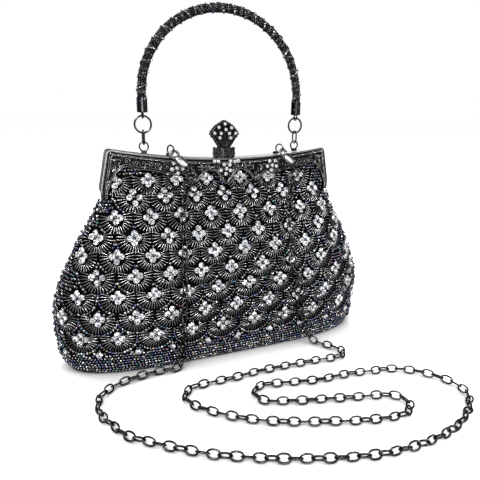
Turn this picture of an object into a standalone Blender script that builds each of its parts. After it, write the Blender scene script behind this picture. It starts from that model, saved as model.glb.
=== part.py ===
"""Beaded evening clutch with a two-part hinged frame, a fan-shaped clasp,
a beaded carrying handle and a long detachable chain.

Metres, +Z up. The origin is the middle of the flat base. +X is to the right
as seen from the front, and the front faces -Y.
"""

import math

import bmesh
import bpy
from mathutils import Matrix, Vector

# Clearances shared by every pair of neighbouring pieces
fit_gap = 0.0003
pin_clearance = 0.00006
cut_overrun = 0.0005
joint_sink = 0.0003

# Soft body of the bag
body_width = 0.238
body_depth = 0.060
body_height = 0.1125
fabric_wall = 0.0012
base_thickness = 0.0012
lining_wall = 0.0007
lining_below_rim = 0.006
rim_side_drop = 0.0032
rim_side_margin = 0.0025

# The body from the base to the rim: height, width between the rim's and the
# fullest, and depth
section_shares = [
    (0.000, 0.683, 0.717),
    (0.013, 0.762, 0.793),
    (0.044, 0.856, 0.860),
    (0.107, 0.936, 0.913),
    (0.213, 0.985, 0.967),
    (0.347, 1.000, 1.000),
    (0.444, 0.962, 0.993),
    (0.533, 0.856, 0.973),
    (0.622, 0.713, 0.940),
    (0.711, 0.547, 0.893),
    (0.800, 0.388, 0.817),
    (0.880, 0.207, 0.710),
    (0.942, 0.063, 0.593),
    (1.000, 0.000, 0.473),
]

# Upper fabric panels that ride with the two halves of the frame
lap_gap = 0.0005
lap_angle = math.radians(18.0)
panel_side_gap = 0.0005
panel_bulge_shares = [
    (0.00, 1.00),
    (0.08, 0.93),
    (0.16, 0.72),
    (0.24, 0.42),
    (0.32, 0.16),
    (0.42, 0.03),
    (0.60, 0.00),
    (1.00, 0.00),
]

# Metal frame, two angle-section halves that meet at Y = 0
frame_width = 0.170
frame_top_width = 0.161
frame_depth = 0.014
frame_rise = 0.0375
pivot_above_rim = 0.0005
frame_dip = 0.0082
frame_meeting_gap = 0.0006
band_thickness = 0.0014
lip_width = 0.0024
lip_thickness = 0.0012
frame_corner_radius_share = 1.25
ear_radius = 0.003
ear_gap = 0.0005
ear_skin = 0.0001
arm_blend = 0.0090
rivet_radius = 0.0010
rivet_head_radius = 0.0021
rivet_head_height = 0.0007

# Stamped plates with a scalloped lower edge, front and rear
plate_thickness = 0.0012
plate_inset = 0.0008
plate_end_rise = 0.0045
plate_edge_shares = [
    (0.973, 0.880),
    (0.955, 0.787),
    (0.941, 0.653),
    (0.912, 0.507),
    (0.865, 0.387),
    (0.812, 0.320),
    (0.759, 0.360),
    (0.706, 0.387),
    (0.624, 0.400),
    (0.553, 0.440),
    (0.482, 0.507),
    (0.435, 0.467),
    (0.388, 0.461),
    (0.341, 0.520),
    (0.306, 0.600),
    (0.271, 0.675),
    (0.235, 0.587),
    (0.206, 0.507),
    (0.165, 0.440),
    (0.129, 0.419),
    (0.094, 0.445),
    (0.059, 0.547),
    (0.029, 0.640),
    (0.000, 0.725),
]

# Clasp: oval collar, fan-shaped lever, pivot pin and catch stud
clasp_setback = 0.0035
collar_width = 0.0154
collar_depth = 0.0092
collar_height = 0.0066
collar_wall = 0.0012
knob_width = 0.021
knob_height = 0.0186
knob_thickness = 0.0027
knob_neck_width = 0.0080
hub_radius = 0.0021
hub_length = 0.0084
clasp_pin_radius = 0.0008
clasp_pin_height = 0.0034
fork_reach = 0.0090
fork_thickness = 0.0010
fork_drop = 0.0016
fork_prong = 0.0014
stud_radius = 0.0013
stud_height = 0.0024
stud_setback = 0.0042
fork_side_clearance = 0.0005
notch_clearance = 0.0005
clasp_flip = math.radians(15.0)
knob_outline_shares = [
    (0.000, 1.000),
    (0.343, 0.892),
    (0.648, 0.785),
    (1.000, 0.548),
    (0.810, 0.376),
    (0.557, 0.151),
]

# Carrying handle and the wire fittings under it
handle_span = 0.112
handle_rise = 0.0546
handle_leg = 0.0085
grip_radius = 0.0029
ferrule_radius = 0.0034
ferrule_length = 0.0090
ferrule_floor = 0.0025
socket_clearance = 0.00015
loop_diameter = 0.0050
loop_wire = 0.0011
ring_diameter = 0.0120
ring_wire = 0.0013
link_length = 0.0100
link_width = 0.0064
link_wire = 0.0012
eyelet_diameter = 0.0070
eyelet_wire = 0.0011
eyelet_rise = 0.0049
eyelet_foot_width = 0.0034
eyelet_foot_depth = 0.0022
eyelet_setback = 0.0035

# Lobster clasps and the chain rings that hang from them
chain_eyelet_spacing = 0.080
chain_eyelet_reach = 0.0022
chain_eyelet_turn = math.radians(58.0)
chain_foot_height = 0.0011
hook_lean = math.radians(45.0)
hook_forward = math.radians(8.0)
hook_roll = math.radians(-28.0)
hook_hole = 0.0044
hook_wire = 0.0012
hook_thickness = 0.0015
hook_length = 0.0105
hook_end_width = 0.0032
hook_mouth = math.radians(38.0)
barrel_radius = 0.0014
barrel_length = 0.0030
swivel_bore = 0.0014
swivel_clearance = 0.0001
swivel_post_length = 0.0022
swivel_head_height = 0.0007
eye_diameter = 0.0044
eye_wire = 0.0009
gate_thickness = 0.0011
gate_bar = 0.0008
chain_ring_diameter = 0.0050
chain_ring_wire = 0.0008

# Chain, shown as a plain cord of the links' overall width
chain_radius = 0.0029
chain_surface_gap = 0.0008
chain_drop_spacing = 0.020
chain_floor_spacing = 0.014
chain_split_height = 0.016

# Places derived from the sizes above
pivot_z = body_height + pivot_above_rim
frame_half = frame_width / 2
rim_half = frame_half + rim_side_margin
frame_top_half = frame_top_width / 2
frame_face = frame_depth / 2
frame_top = pivot_z + frame_rise
corner_radius = lip_width * frame_corner_radius_share
arm_join_z = pivot_z + ear_radius + arm_blend
meeting_half = frame_meeting_gap / 2


def share_at(table, share, column):
    """Value of one column of a table of shares, read between its rows."""
    if share <= table[0][0]:
        return table[0][column]
    for low, high in zip(table, table[1:]):
        if share <= high[0]:
            part = (share - low[0]) / (high[0] - low[0])
            return low[column] + (high[column] - low[column]) * part
    return table[-1][column]


def half_width_at(z):
    return rim_half + (body_width / 2 - rim_half) * share_at(section_shares, z / body_height, 1)


def half_depth_at(z):
    return body_depth / 2 * share_at(section_shares, z / body_height, 2)


def oval_depth(x, half_width, half_depth):
    """Depth of the rounded-oblong section at x: (x/w)^4 + (y/d)^2 = 1."""
    return half_depth * math.sqrt(max(1 - abs(x / half_width) ** 4, 0))


def top_z(x):
    """Height of the frame's outer edge, which dips towards the clasp."""
    return frame_top - frame_dip * (1 - (x / frame_half) ** 2)


# Scene and collections
for old in list(bpy.data.objects):
    bpy.data.objects.remove(old, do_unlink=True)
parts = bpy.data.collections.new("evening_clutch")
bpy.context.scene.collection.children.link(parts)
cutters = bpy.data.collections.new("cutters")
bpy.context.scene.collection.children.link(cutters)


def material(name, colour, roughness, metallic):
    made = bpy.data.materials.new(name)
    made.use_nodes = True
    shader = made.node_tree.nodes["Principled BSDF"]
    shader.inputs["Base Color"].default_value = (*colour, 1)
    shader.inputs["Roughness"].default_value = roughness
    shader.inputs["Metallic"].default_value = metallic
    return made


beaded_fabric = material("beaded_fabric", (0.020, 0.020, 0.026), 0.45, 0.0)
lining_fabric = material("lining_fabric", (0.016, 0.016, 0.019), 0.70, 0.0)
polished_metal = material("polished_metal", (0.62, 0.62, 0.64), 0.18, 1.0)
antiqued_metal = material("antiqued_metal", (0.085, 0.080, 0.078), 0.38, 1.0)
dark_metal = material("dark_metal", (0.060, 0.058, 0.060), 0.30, 1.0)
black_gloss = material("black_gloss", (0.010, 0.010, 0.011), 0.12, 0.0)
beaded_cord = material("beaded_cord", (0.030, 0.030, 0.034), 0.35, 0.0)
bright_clip = material("bright_clip", (0.70, 0.70, 0.71), 0.15, 1.0)
chain_metal = material("chain_metal", (0.075, 0.072, 0.072), 0.30, 1.0)


def place(obj, finish, cutter=False):
    """Put an object in its collection and give it a finish of its own."""
    if cutter:
        cutters.objects.link(obj)
        obj.hide_render = True
        obj.display_type = "WIRE"
        return obj
    parts.objects.link(obj)
    own = finish.copy()
    own.name = obj.name + "_finish"
    obj.data.materials.clear()
    obj.data.materials.append(own)
    return obj


def smooth(mesh, angle=40.0):
    mesh.shade_smooth()
    mesh.set_sharp_from_angle(angle=math.radians(angle))


def loft(name, rings, finish=None, caps="face", smooth_angle=40.0):
    """Skin through closed rings of points.

    caps is "face" for one face at each end, "strip" for thin sections that
    fold back on themselves, and "loop" where the last ring meets the first.
    """
    shape = bmesh.new()
    rows = [[shape.verts.new(point) for point in ring] for ring in rings]
    count = len(rows[0])
    pairs = list(zip(rows, rows[1:]))
    if caps == "loop":
        pairs.append((rows[-1], rows[0]))
    for low, high in pairs:
        for i in range(count):
            j = (i + 1) % count
            shape.faces.new((low[i], low[j], high[j], high[i]))
    if caps == "face":
        shape.faces.new(rows[0])
        shape.faces.new(rows[-1])
    if caps == "strip":
        for row in (rows[0], rows[-1]):
            for i in range(count // 2 - 1):
                shape.faces.new((row[i], row[i + 1], row[count - 2 - i], row[count - 1 - i]))
    bmesh.ops.recalc_face_normals(shape, faces=shape.faces)
    mesh = bpy.data.meshes.new(name)
    shape.to_mesh(mesh)
    shape.free()
    smooth(mesh, smooth_angle)
    obj = bpy.data.objects.new(name, mesh)
    return place(obj, finish, cutter=finish is None)


def prism(name, outline, low, high, finish=None, frame=None):
    """Flat outline in local XZ, drawn out along local Y from low to high."""
    shape = bmesh.new()
    near = [shape.verts.new((x, low, z)) for x, z in outline]
    face = shape.faces.new(near)
    drawn = bmesh.ops.extrude_face_region(shape, geom=[face])
    moved = [item for item in drawn["geom"] if isinstance(item, bmesh.types.BMVert)]
    bmesh.ops.translate(shape, verts=moved, vec=(0, high - low, 0))
    bmesh.ops.recalc_face_normals(shape, faces=shape.faces)
    mesh = bpy.data.meshes.new(name)
    shape.to_mesh(mesh)
    shape.free()
    smooth(mesh, 30.0)
    obj = bpy.data.objects.new(name, mesh)
    if frame is not None:
        obj.matrix_world = frame
    return place(obj, finish, cutter=finish is None)


def block(name, low, high, finish=None):
    """Box between two corners."""
    shape = bmesh.new()
    size = [b - a for a, b in zip(low, high)]
    middle = [(a + b) / 2 for a, b in zip(low, high)]
    bmesh.ops.create_cube(shape, size=1)
    bmesh.ops.scale(shape, vec=size, verts=shape.verts)
    bmesh.ops.translate(shape, vec=middle, verts=shape.verts)
    mesh = bpy.data.meshes.new(name)
    shape.to_mesh(mesh)
    shape.free()
    obj = bpy.data.objects.new(name, mesh)
    return place(obj, finish, cutter=finish is None)


def rod(name, radius, start, end, finish=None, sides=16):
    """Cylinder between two points; its origin is halfway."""
    shape = bmesh.new()
    axis = Vector(end) - Vector(start)
    bmesh.ops.create_cone(
        shape, cap_ends=True, segments=sides, radius1=radius, radius2=radius, depth=axis.length
    )
    mesh = bpy.data.meshes.new(name)
    shape.to_mesh(mesh)
    shape.free()
    smooth(mesh)
    obj = bpy.data.objects.new(name, mesh)
    turn = axis.to_track_quat("Z", "Y").to_matrix().to_4x4()
    obj.matrix_world = Matrix.Translation((Vector(start) + Vector(end)) / 2) @ turn
    return place(obj, finish, cutter=finish is None)


def turned(name, profile, base, axis, finish=None, sides=16):
    """Turned piece: (radius, height) points, from the top of the axis round
    the outer side to the bottom, spun about the axis through base."""
    mesh = bpy.data.meshes.new(name)
    points = [(radius, 0, height) for radius, height in profile]
    edges = [(i, i + 1) for i in range(len(points) - 1)]
    mesh.from_pydata(points, edges, [])
    obj = bpy.data.objects.new(name, mesh)
    turn = Vector(axis).to_track_quat("Z", "Y").to_matrix().to_4x4()
    obj.matrix_world = Matrix.Translation(base) @ turn
    spin = obj.modifiers.new("spin", "SCREW")
    spin.steps = sides
    spin.render_steps = sides
    spin.use_merge_vertices = True
    spin.merge_threshold = 0.00001
    spin.use_smooth_shade = True
    return place(obj, finish, cutter=finish is None)


def tube(name, points, radius, finish=None, closed=False, detail=1, origin=None):
    """Round wire along a polyline of world points."""
    start = Vector(origin) if origin is not None else Vector((0, 0, 0))
    curve = bpy.data.curves.new(name, "CURVE")
    curve.dimensions = "3D"
    curve.bevel_depth = radius
    curve.bevel_resolution = detail
    curve.use_fill_caps = not closed
    spline = curve.splines.new("POLY")
    spline.points.add(len(points) - 1)
    for knot, point in zip(spline.points, points):
        knot.co = (*(Vector(point) - start), 1)
    spline.use_cyclic_u = closed
    spline.use_smooth = True
    obj = bpy.data.objects.new(name, curve)
    obj.location = start
    return place(obj, finish, cutter=finish is None)


def sheet(name, outline, thickness, y_middle, finish):
    """Flat plate cut to an outline in XZ, its thickness centred on y_middle."""
    curve = bpy.data.curves.new(name, "CURVE")
    curve.dimensions = "2D"
    curve.fill_mode = "BOTH"
    curve.extrude = thickness / 2
    spline = curve.splines.new("POLY")
    spline.points.add(len(outline) - 1)
    for knot, (x, z) in zip(spline.points, outline):
        knot.co = (x, z, 0, 1)
    spline.use_cyclic_u = True
    obj = bpy.data.objects.new(name, curve)
    obj.location = (0, y_middle, 0)
    obj.rotation_euler = (math.pi / 2, 0, 0)
    return place(obj, finish)


def as_mesh(obj):
    """Mesh copy of a curve object, so that it can be cut and joined."""
    bpy.context.view_layer.update()
    seen = obj.evaluated_get(bpy.context.evaluated_depsgraph_get())
    mesh = bpy.data.meshes.new_from_object(seen)
    shape = bmesh.new()
    shape.from_mesh(mesh)
    bmesh.ops.remove_doubles(shape, verts=shape.verts, dist=0.000001)
    shape.to_mesh(mesh)
    shape.free()
    name = obj.name
    world = obj.matrix_world.copy()
    owner = obj.users_collection[0]
    hidden = obj.hide_render
    display = obj.display_type
    bpy.data.objects.remove(obj, do_unlink=True)
    made = bpy.data.objects.new(name, mesh)
    made.matrix_world = world
    made.hide_render = hidden
    made.display_type = display
    owner.objects.link(made)
    return made


def boolean(target, tools, operation):
    for tool in tools:
        step = target.modifiers.new(operation.lower() + "_" + tool.name, "BOOLEAN")
        step.operation = operation
        step.solver = "EXACT"
        step.object = tool


def ring_points(centre, radius, across, along, count=16):
    """Points on a circle in the plane of two unit vectors."""
    centre = Vector(centre)
    turn = 2 * math.pi / count
    return [
        centre + radius * (math.cos(turn * i) * Vector(across) + math.sin(turn * i) * Vector(along))
        for i in range(count)
    ]


X_AXIS = Vector((1, 0, 0))
Y_AXIS = Vector((0, 1, 0))
Z_AXIS = Vector((0, 0, 1))
SIDES = (("left", -1), ("right", 1))


# Soft body and lining
def rim_height(turn_share):
    """The rim is level in front and behind and lower beside the hinges."""
    step = min(max((abs(turn_share) - 0.6) / 0.25, 0), 1)
    return body_height - rim_side_drop * step * step * (3 - 2 * step)


def wall_point(turn, z, inset):
    """Point of the body's rounded-oblong section at a height, set in by inset."""
    c = math.cos(turn)
    width = half_width_at(z) - inset
    depth = half_depth_at(z) - inset
    return (math.copysign(math.sqrt(abs(c)), c) * width, math.sin(turn) * depth, z)


def body_turns(count=32):
    return [2 * math.pi * i / count for i in range(count)]


def body_ring(share, inset, floor, below_rim):
    """One ring of the body at a share of the way up, set in by inset."""
    ring = []
    for turn in body_turns():
        z = floor + (rim_height(math.cos(turn)) - below_rim - floor) * share
        ring.append(wall_point(turn, z, inset))
    return ring


def fabric_wall_loop(name, wall, floor, finish):
    """Wall of the body, open above and below: outer rings up, inner rings down."""
    levels = [row[0] for row in section_shares]
    outer = [body_ring(share, 0, floor, 0) for share in levels]
    inner = [body_ring(share, wall, floor, 0) for share in levels]
    return loft(name, outer + inner[::-1], finish, caps="loop", smooth_angle=60.0)


def open_vessel(name, inset, wall, floor, below_rim, finish):
    """Thin open-topped bag: outer rings up, inner rings down."""
    levels = [row[0] for row in section_shares]
    outer = [body_ring(share, inset, floor, below_rim) for share in levels]
    inner = [body_ring(share, inset + wall, floor + wall, below_rim) for share in levels[:-1]]
    rim = [body_ring(1, inset + wall, floor, below_rim)]
    return loft(name, outer + rim + inner[::-1], finish, smooth_angle=60.0)


def base_panel():
    """Stiffened base sewn under the wall, drawn to the wall's outer edge."""
    rings = [[wall_point(turn, z, 0) for turn in body_turns()] for z in (0, base_thickness)]
    return loft("base_panel", rings, beaded_fabric)


base_panel()
wall_floor = base_thickness + fit_gap
fabric_wall_loop("body_pouch", fabric_wall, wall_floor, beaded_fabric)
lining_inset = fabric_wall + fit_gap
open_vessel("lining_pouch", lining_inset, lining_wall, wall_floor, lining_below_rim, lining_fabric)


# Upper fabric panels
rim_inner_width = half_width_at(body_height) - fabric_wall
rim_inner_depth = half_depth_at(body_height) - fabric_wall - lap_gap
panel_half = frame_half - 2 * band_thickness - ear_gap - panel_side_gap
panel_face = frame_face - lip_thickness - fit_gap


def panel_columns(count=32, middle_share=0.5, middle_steps=8):
    """Same spacing as the body's rings near the ends, even in the middle."""
    places = [rim_inner_width * middle_share * (1 - 2 * i / middle_steps) for i in range(middle_steps + 1)]
    for i in range(1, count // 4):
        share = math.sqrt(math.cos(2 * math.pi * i / count))
        if middle_share < share < panel_half / rim_inner_width:
            places += [share * rim_inner_width, -share * rim_inner_width]
    return sorted(places + [panel_half, -panel_half], reverse=True)


def narrowing(rise):
    """The panel narrows with the arms of the frame, which lean in."""
    share = max(rise - (arm_join_z - pivot_z), 0) / (frame_top - arm_join_z)
    return 1 + (frame_top_half / frame_half - 1) * min(share, 1)


def upper_panel(name, facing):
    """Panel from the frame down to a lap that turns inside the rim."""
    rings = []
    for x in panel_columns():
        radius = oval_depth(x, rim_inner_width, rim_inner_depth)
        high = top_z(x * frame_top_half / frame_half) - band_thickness - fit_gap
        outer = []
        inner = []
        for fall in (lap_angle, lap_angle / 2):
            outer.append((radius * math.cos(fall), -radius * math.sin(fall)))
            thin = radius - fabric_wall
            inner.append((thin * math.cos(fall), -thin * math.sin(fall)))
        for rise_share, bulge_share in panel_bulge_shares:
            depth = panel_face + (radius - panel_face) * bulge_share
            rise = (high - pivot_z) * rise_share
            outer.append((depth, rise))
            inner.append((depth - fabric_wall, rise))
        ring = outer + inner[::-1]
        rings.append([(x * narrowing(rise), facing * depth, pivot_z + rise) for depth, rise in ring])
    return loft(name, rings, beaded_fabric, caps="strip", smooth_angle=60.0)


upper_panel("front_panel", -1)
upper_panel("rear_panel", 1)


# Frame halves
def frame_path(low_z, inset=0.0, top_steps=18, corner_steps=5):
    """Outer edge of the frame as (point, inward direction) pairs in XZ.

    The arms stand upright beside the hinges and lean in above them.
    """
    slope = math.atan(2 * frame_dip * frame_top_half / frame_half ** 2)
    centre_x = frame_top_half - corner_radius
    end_x = centre_x - corner_radius * math.sin(slope)
    centre_z = top_z(end_x) - corner_radius * math.cos(slope)
    reach = math.hypot(centre_x - frame_half, centre_z - arm_join_z)
    toward = math.atan2(centre_z - arm_join_z, centre_x - frame_half)
    lean_in = toward - math.acos(-corner_radius / reach)
    half = [
        ((frame_half, low_z), (-1, 0)),
        ((frame_half, arm_join_z), (-math.cos(lean_in / 2), -math.sin(lean_in / 2))),
    ]
    for i in range(corner_steps + 1):
        turn = lean_in + (math.pi / 2 + slope - lean_in) * i / corner_steps
        c = math.cos(turn)
        s = math.sin(turn)
        half.append(((centre_x + corner_radius * c, centre_z + corner_radius * s), (-c, -s)))
    for i in range(1, top_steps // 2 + 1):
        x = end_x * (1 - 2 * i / top_steps)
        lean = math.atan(2 * frame_dip * x / frame_half ** 2)
        half.append(((x, top_z(x)), (math.sin(lean), -math.cos(lean))))
    mirrored = [((-x, z), (-a, b)) for (x, z), (a, b) in half[-2::-1]]
    return [((x + a * inset, z + b * inset), (a, b)) for (x, z), (a, b) in half + mirrored]


def frame_sweep(name, facing, low_z, finish):
    """Angle section: a band along the outer edge and a lip on the face."""
    front = facing * frame_face
    behind = facing * (frame_face - lip_thickness)
    meet = facing * meeting_half
    section = [
        (0, front),
        (0, meet),
        (band_thickness, meet),
        (band_thickness, behind),
        (lip_width, behind),
        (lip_width, front),
    ]
    rings = []
    for (x, z), (a, b) in frame_path(low_z):
        rings.append([(x + a * inward, y, z + b * inward) for inward, y in section])
    return loft(name, rings, finish, smooth_angle=30.0)


def ear_outline(facing, top):
    """Side view of an arm's end: it narrows to a round ear on the hinge."""
    points = [(facing * meeting_half, top), (facing * (frame_face - ear_skin), top)]
    start = math.radians(200)
    lap = math.asin(meeting_half / ear_radius)
    finish_turn = math.radians(450) + lap
    steps = 14
    for i in range(steps + 1):
        turn = start + (finish_turn - start) * i / steps
        points.append((-facing * ear_radius * math.cos(turn), pivot_z + ear_radius * math.sin(turn)))
    return points


def ear(name, facing, x_low, x_high, top):
    """Ear plate: its outline lies in YZ and is drawn out along X."""
    quarter = Matrix.Rotation(math.pi / 2, 4, "Z")
    return prism(name, ear_outline(facing, top), -x_high, -x_low, frame=quarter)


outer_ear = (frame_half - band_thickness + ear_skin, frame_half - ear_skin)
inner_ear = (frame_half - 2 * band_thickness - ear_gap, frame_half - band_thickness - ear_gap)


def mirrored_span(span, side):
    return tuple(sorted((span[0] * side, span[1] * side)))


def front_frame():
    low = arm_join_z - joint_sink - ear_radius
    frame = frame_sweep("front_frame", -1, low, polished_metal)
    for label, side in SIDES:
        x_low, x_high = mirrored_span(outer_ear, side)
        plate = ear("front_ear_" + label, -1, x_low, x_high, arm_join_z)
        boolean(frame, [plate], "UNION")
    return frame


def rear_frame():
    low = arm_join_z - ear_radius
    frame = frame_sweep("rear_frame", 1, low, polished_metal)
    for label, side in SIDES:
        x_low, x_high = mirrored_span(inner_ear, side)
        plate = ear("rear_ear_" + label, 1, x_low, x_high, arm_join_z)
        step_low, step_high = mirrored_span((inner_ear[0] + ear_skin, frame_half - band_thickness / 2), side)
        step = block(
            "rear_step_" + label,
            (step_low, meeting_half + ear_skin, arm_join_z - ear_radius + ear_skin),
            (step_high, frame_face - lip_thickness, arm_join_z - ear_skin),
        )
        boolean(frame, [plate, step], "UNION")
    return frame


def pivot_holes(frames):
    for label, side in SIDES:
        hole = rod(
            "hinge_hole_" + label,
            rivet_radius + pin_clearance,
            (side * (inner_ear[0] - ear_radius), 0, pivot_z),
            (side * (frame_half + ear_radius), 0, pivot_z),
        )
        for frame in frames:
            boolean(frame, [hole], "DIFFERENCE")


pivot_holes([front_frame(), rear_frame()])


def hinge_rivet(label, side):
    """Headed rivet through both ears, its origin on the hinge line."""
    inside = inner_ear[0] - fit_gap
    outside = frame_half + fit_gap
    length = outside - inside
    profile = [
        (0, length + rivet_head_height),
        (rivet_head_radius, length + rivet_head_height),
        (rivet_head_radius, length),
        (rivet_radius, length),
        (rivet_radius, 0),
        (rivet_head_radius, 0),
        (rivet_head_radius, -rivet_head_height),
        (0, -rivet_head_height),
    ]
    turned(label + "_hinge_rivet", profile, (side * inside, 0, pivot_z), (side, 0, 0), dark_metal)


for label, side in SIDES:
    hinge_rivet(label, side)


# Scalloped plates
def plate_outline():
    low = pivot_z + plate_end_rise
    outer = [point for point, inward in frame_path(low, plate_inset)]
    right = [(frame_half * a, frame_top - frame_rise * b) for a, b in plate_edge_shares]
    left = [(-x, z) for x, z in right[-2::-1]]
    return outer + left[::-1] + right[::-1]


plate_middle = frame_face + fit_gap + plate_thickness / 2
sheet("front_plate", plate_outline(), plate_thickness, -plate_middle, antiqued_metal)
sheet("rear_plate", plate_outline(), plate_thickness, plate_middle, antiqued_metal)


# Clasp
collar_base = top_z(0) + fit_gap
clasp_pin_z = collar_base + clasp_pin_height
fork_slot = stud_radius + fork_side_clearance


def oval_ring(half_x, half_y, z, count=28):
    turn = 2 * math.pi / count
    return [
        (half_x * math.cos(turn * i), half_y * math.sin(turn * i) - clasp_setback, z)
        for i in range(count)
    ]


def clasp_collar():
    half_x = collar_width / 2
    half_y = collar_depth / 2
    top = collar_base + collar_height
    rings = [
        oval_ring(half_x, half_y, collar_base),
        oval_ring(half_x, half_y, top),
        oval_ring(half_x - collar_wall, half_y - collar_wall, top),
        oval_ring(half_x - collar_wall, half_y - collar_wall, collar_base),
    ]
    collar = loft("clasp_collar", rings, dark_metal, caps="loop")
    lift = math.sin(clasp_flip) * (half_y + collar_wall)
    notch_x = fork_slot + fork_prong + notch_clearance
    notch_top = clasp_pin_z - fork_drop + fork_thickness / 2 + lift + notch_clearance
    notch = block(
        "collar_notch",
        (-notch_x, -clasp_setback, collar_base - cut_overrun),
        (notch_x, half_y - clasp_setback + cut_overrun, notch_top),
    )
    boolean(collar, [notch], "DIFFERENCE")


def knob_outline():
    """Fan over a neck that runs down to the hub, drawn about the pin."""
    base = collar_base + collar_height - clasp_pin_z
    right = [(knob_width / 2 * a, base + knob_height * b) for a, b in knob_outline_shares]
    right.append((knob_neck_width / 2, base))
    right.append((knob_neck_width / 2, 0))
    left = [(-x, z) for x, z in right[:0:-1]]
    return right + left


def clasp_knob():
    pin_place = Matrix.Translation((0, -clasp_setback, clasp_pin_z))
    half = knob_thickness / 2
    knob = prism("clasp_knob", knob_outline(), -half, half, polished_metal, frame=pin_place)
    hub = rod(
        "knob_hub",
        hub_radius,
        (-hub_length / 2, -clasp_setback, clasp_pin_z),
        (hub_length / 2, -clasp_setback, clasp_pin_z),
        sides=20,
    )
    tools = [hub]
    fork_z = clasp_pin_z - fork_drop
    for label, side in SIDES:
        low, high = mirrored_span((fork_slot, fork_slot + fork_prong), side)
        tools.append(
            block(
                "knob_prong_" + label,
                (low, -clasp_setback - joint_sink, fork_z - fork_thickness / 2),
                (high, fork_reach - clasp_setback, fork_z + fork_thickness / 2),
            )
        )
    boolean(knob, tools, "UNION")
    bore = rod(
        "knob_bore",
        clasp_pin_radius + pin_clearance,
        (-hub_length, -clasp_setback, clasp_pin_z),
        (hub_length, -clasp_setback, clasp_pin_z),
    )
    boolean(knob, [bore], "DIFFERENCE")


def clasp_pin():
    reach = collar_width / 2 - collar_wall - fit_gap
    rod(
        "clasp_pivot_pin",
        clasp_pin_radius,
        (-reach, -clasp_setback, clasp_pin_z),
        (reach, -clasp_setback, clasp_pin_z),
        dark_metal,
    )


def catch_stud():
    base = top_z(0) + fit_gap
    rod("catch_stud", stud_radius, (0, stud_setback, base), (0, stud_setback, base + stud_height), dark_metal)


clasp_collar()
clasp_knob()
clasp_pin()
catch_stud()


# Handle fittings. Each wire passes through its neighbour with fit_gap
handle_half = handle_span / 2
fitting_y = -eyelet_setback
eyelet_radius = (eyelet_diameter - eyelet_wire) / 2
eyelet_z = top_z(handle_half) + eyelet_rise
link_pivot_z = eyelet_z + eyelet_radius
link_low_z = link_pivot_z - (eyelet_wire + link_wire) / 2 - fit_gap
link_high_z = link_low_z + link_length - link_wire
ring_radius = (ring_diameter - ring_wire) / 2
ring_pivot_z = link_high_z - (link_wire + ring_wire) / 2 - fit_gap
handle_pivot_z = ring_pivot_z + 2 * ring_radius
loop_radius = (loop_diameter - loop_wire) / 2
loop_z = handle_pivot_z - (ring_wire + loop_wire) / 2 - fit_gap + loop_radius
ferrule_z = loop_z + loop_radius - joint_sink


def eyelet(name, x, y, z, turn, foot_low, foot_high):
    """Wire ring with a foot; turn swings the ring about the vertical."""
    across = Vector((math.cos(turn), -math.sin(turn), 0))
    ring = as_mesh(tube(name, ring_points((x, y, z), eyelet_radius, across, Z_AXIS), eyelet_wire / 2, dark_metal, closed=True))
    foot = block(name + "_foot", foot_low, foot_high)
    boolean(ring, [foot], "UNION")
    return ring


def handle_eyelet(label, side):
    x = side * handle_half
    base = top_z(abs(x) + eyelet_foot_width / 2) + fit_gap
    eyelet(
        label + "_handle_eyelet",
        x,
        fitting_y,
        eyelet_z,
        0,
        (x - eyelet_foot_width / 2, fitting_y - eyelet_foot_depth / 2, base),
        (x + eyelet_foot_width / 2, fitting_y + eyelet_foot_depth / 2, eyelet_z - eyelet_radius + joint_sink),
    )


def oblong_points(x, y, low, high, half_y, steps=6):
    """Centre line of an oblong link that stands in the YZ plane."""
    points = []
    for i in range(steps + 1):
        turn = math.pi * i / steps
        points.append((x, y + half_y * math.cos(turn), high - half_y + half_y * math.sin(turn)))
    for i in range(steps + 1):
        turn = math.pi + math.pi * i / steps
        points.append((x, y + half_y * math.cos(turn), low + half_y + half_y * math.sin(turn)))
    return points


def handle_fittings(label, side):
    x = side * handle_half
    handle_eyelet(label, side)
    half_y = (link_width - link_wire) / 2
    tube(
        label + "_handle_link",
        oblong_points(x, fitting_y, link_low_z, link_high_z, half_y),
        link_wire / 2,
        dark_metal,
        closed=True,
        origin=(x, fitting_y, link_pivot_z),
    )
    tube(
        label + "_handle_ring",
        ring_points((x, fitting_y, ring_pivot_z + ring_radius), ring_radius, X_AXIS, Z_AXIS, 24),
        ring_wire / 2,
        dark_metal,
        closed=True,
        origin=(x, fitting_y, ring_pivot_z),
    )


def handle_ferrule(label, side):
    """Blind cap for the end of the grip, with the loop under it."""
    x = side * handle_half
    socket = grip_radius + socket_clearance
    profile = [
        (0, ferrule_floor),
        (socket, ferrule_floor),
        (socket, ferrule_length),
        (ferrule_radius, ferrule_length),
        (ferrule_radius, 0),
        (0, 0),
    ]
    cap = turned(label + "_handle_ferrule", profile, (x, fitting_y, ferrule_z), (0, 0, 1), black_gloss, sides=24)
    wire = ring_points((x, fitting_y, loop_z), loop_radius, Y_AXIS, Z_AXIS)
    loop = as_mesh(tube(label + "_ferrule_loop", wire, loop_wire / 2, closed=True))
    boolean(cap, [loop], "UNION")


def handle_grip():
    """Round beaded cord: two straight legs and a half-oval arch."""
    low = ferrule_z + ferrule_floor + fit_gap
    spring_z = low + handle_leg
    steps = 28
    arch = []
    for i in range(steps + 1):
        turn = math.pi * i / steps
        arch.append(
            (handle_half * math.cos(turn), fitting_y, spring_z + handle_rise * math.sin(turn))
        )
    points = [(handle_half, fitting_y, low)] + arch + [(-handle_half, fitting_y, low)]
    tube("handle_grip", points, grip_radius, beaded_cord, detail=3, origin=(0, fitting_y, handle_pivot_z))


for label, side in SIDES:
    handle_fittings(label, side)
    handle_ferrule(label, side)
handle_grip()


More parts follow.
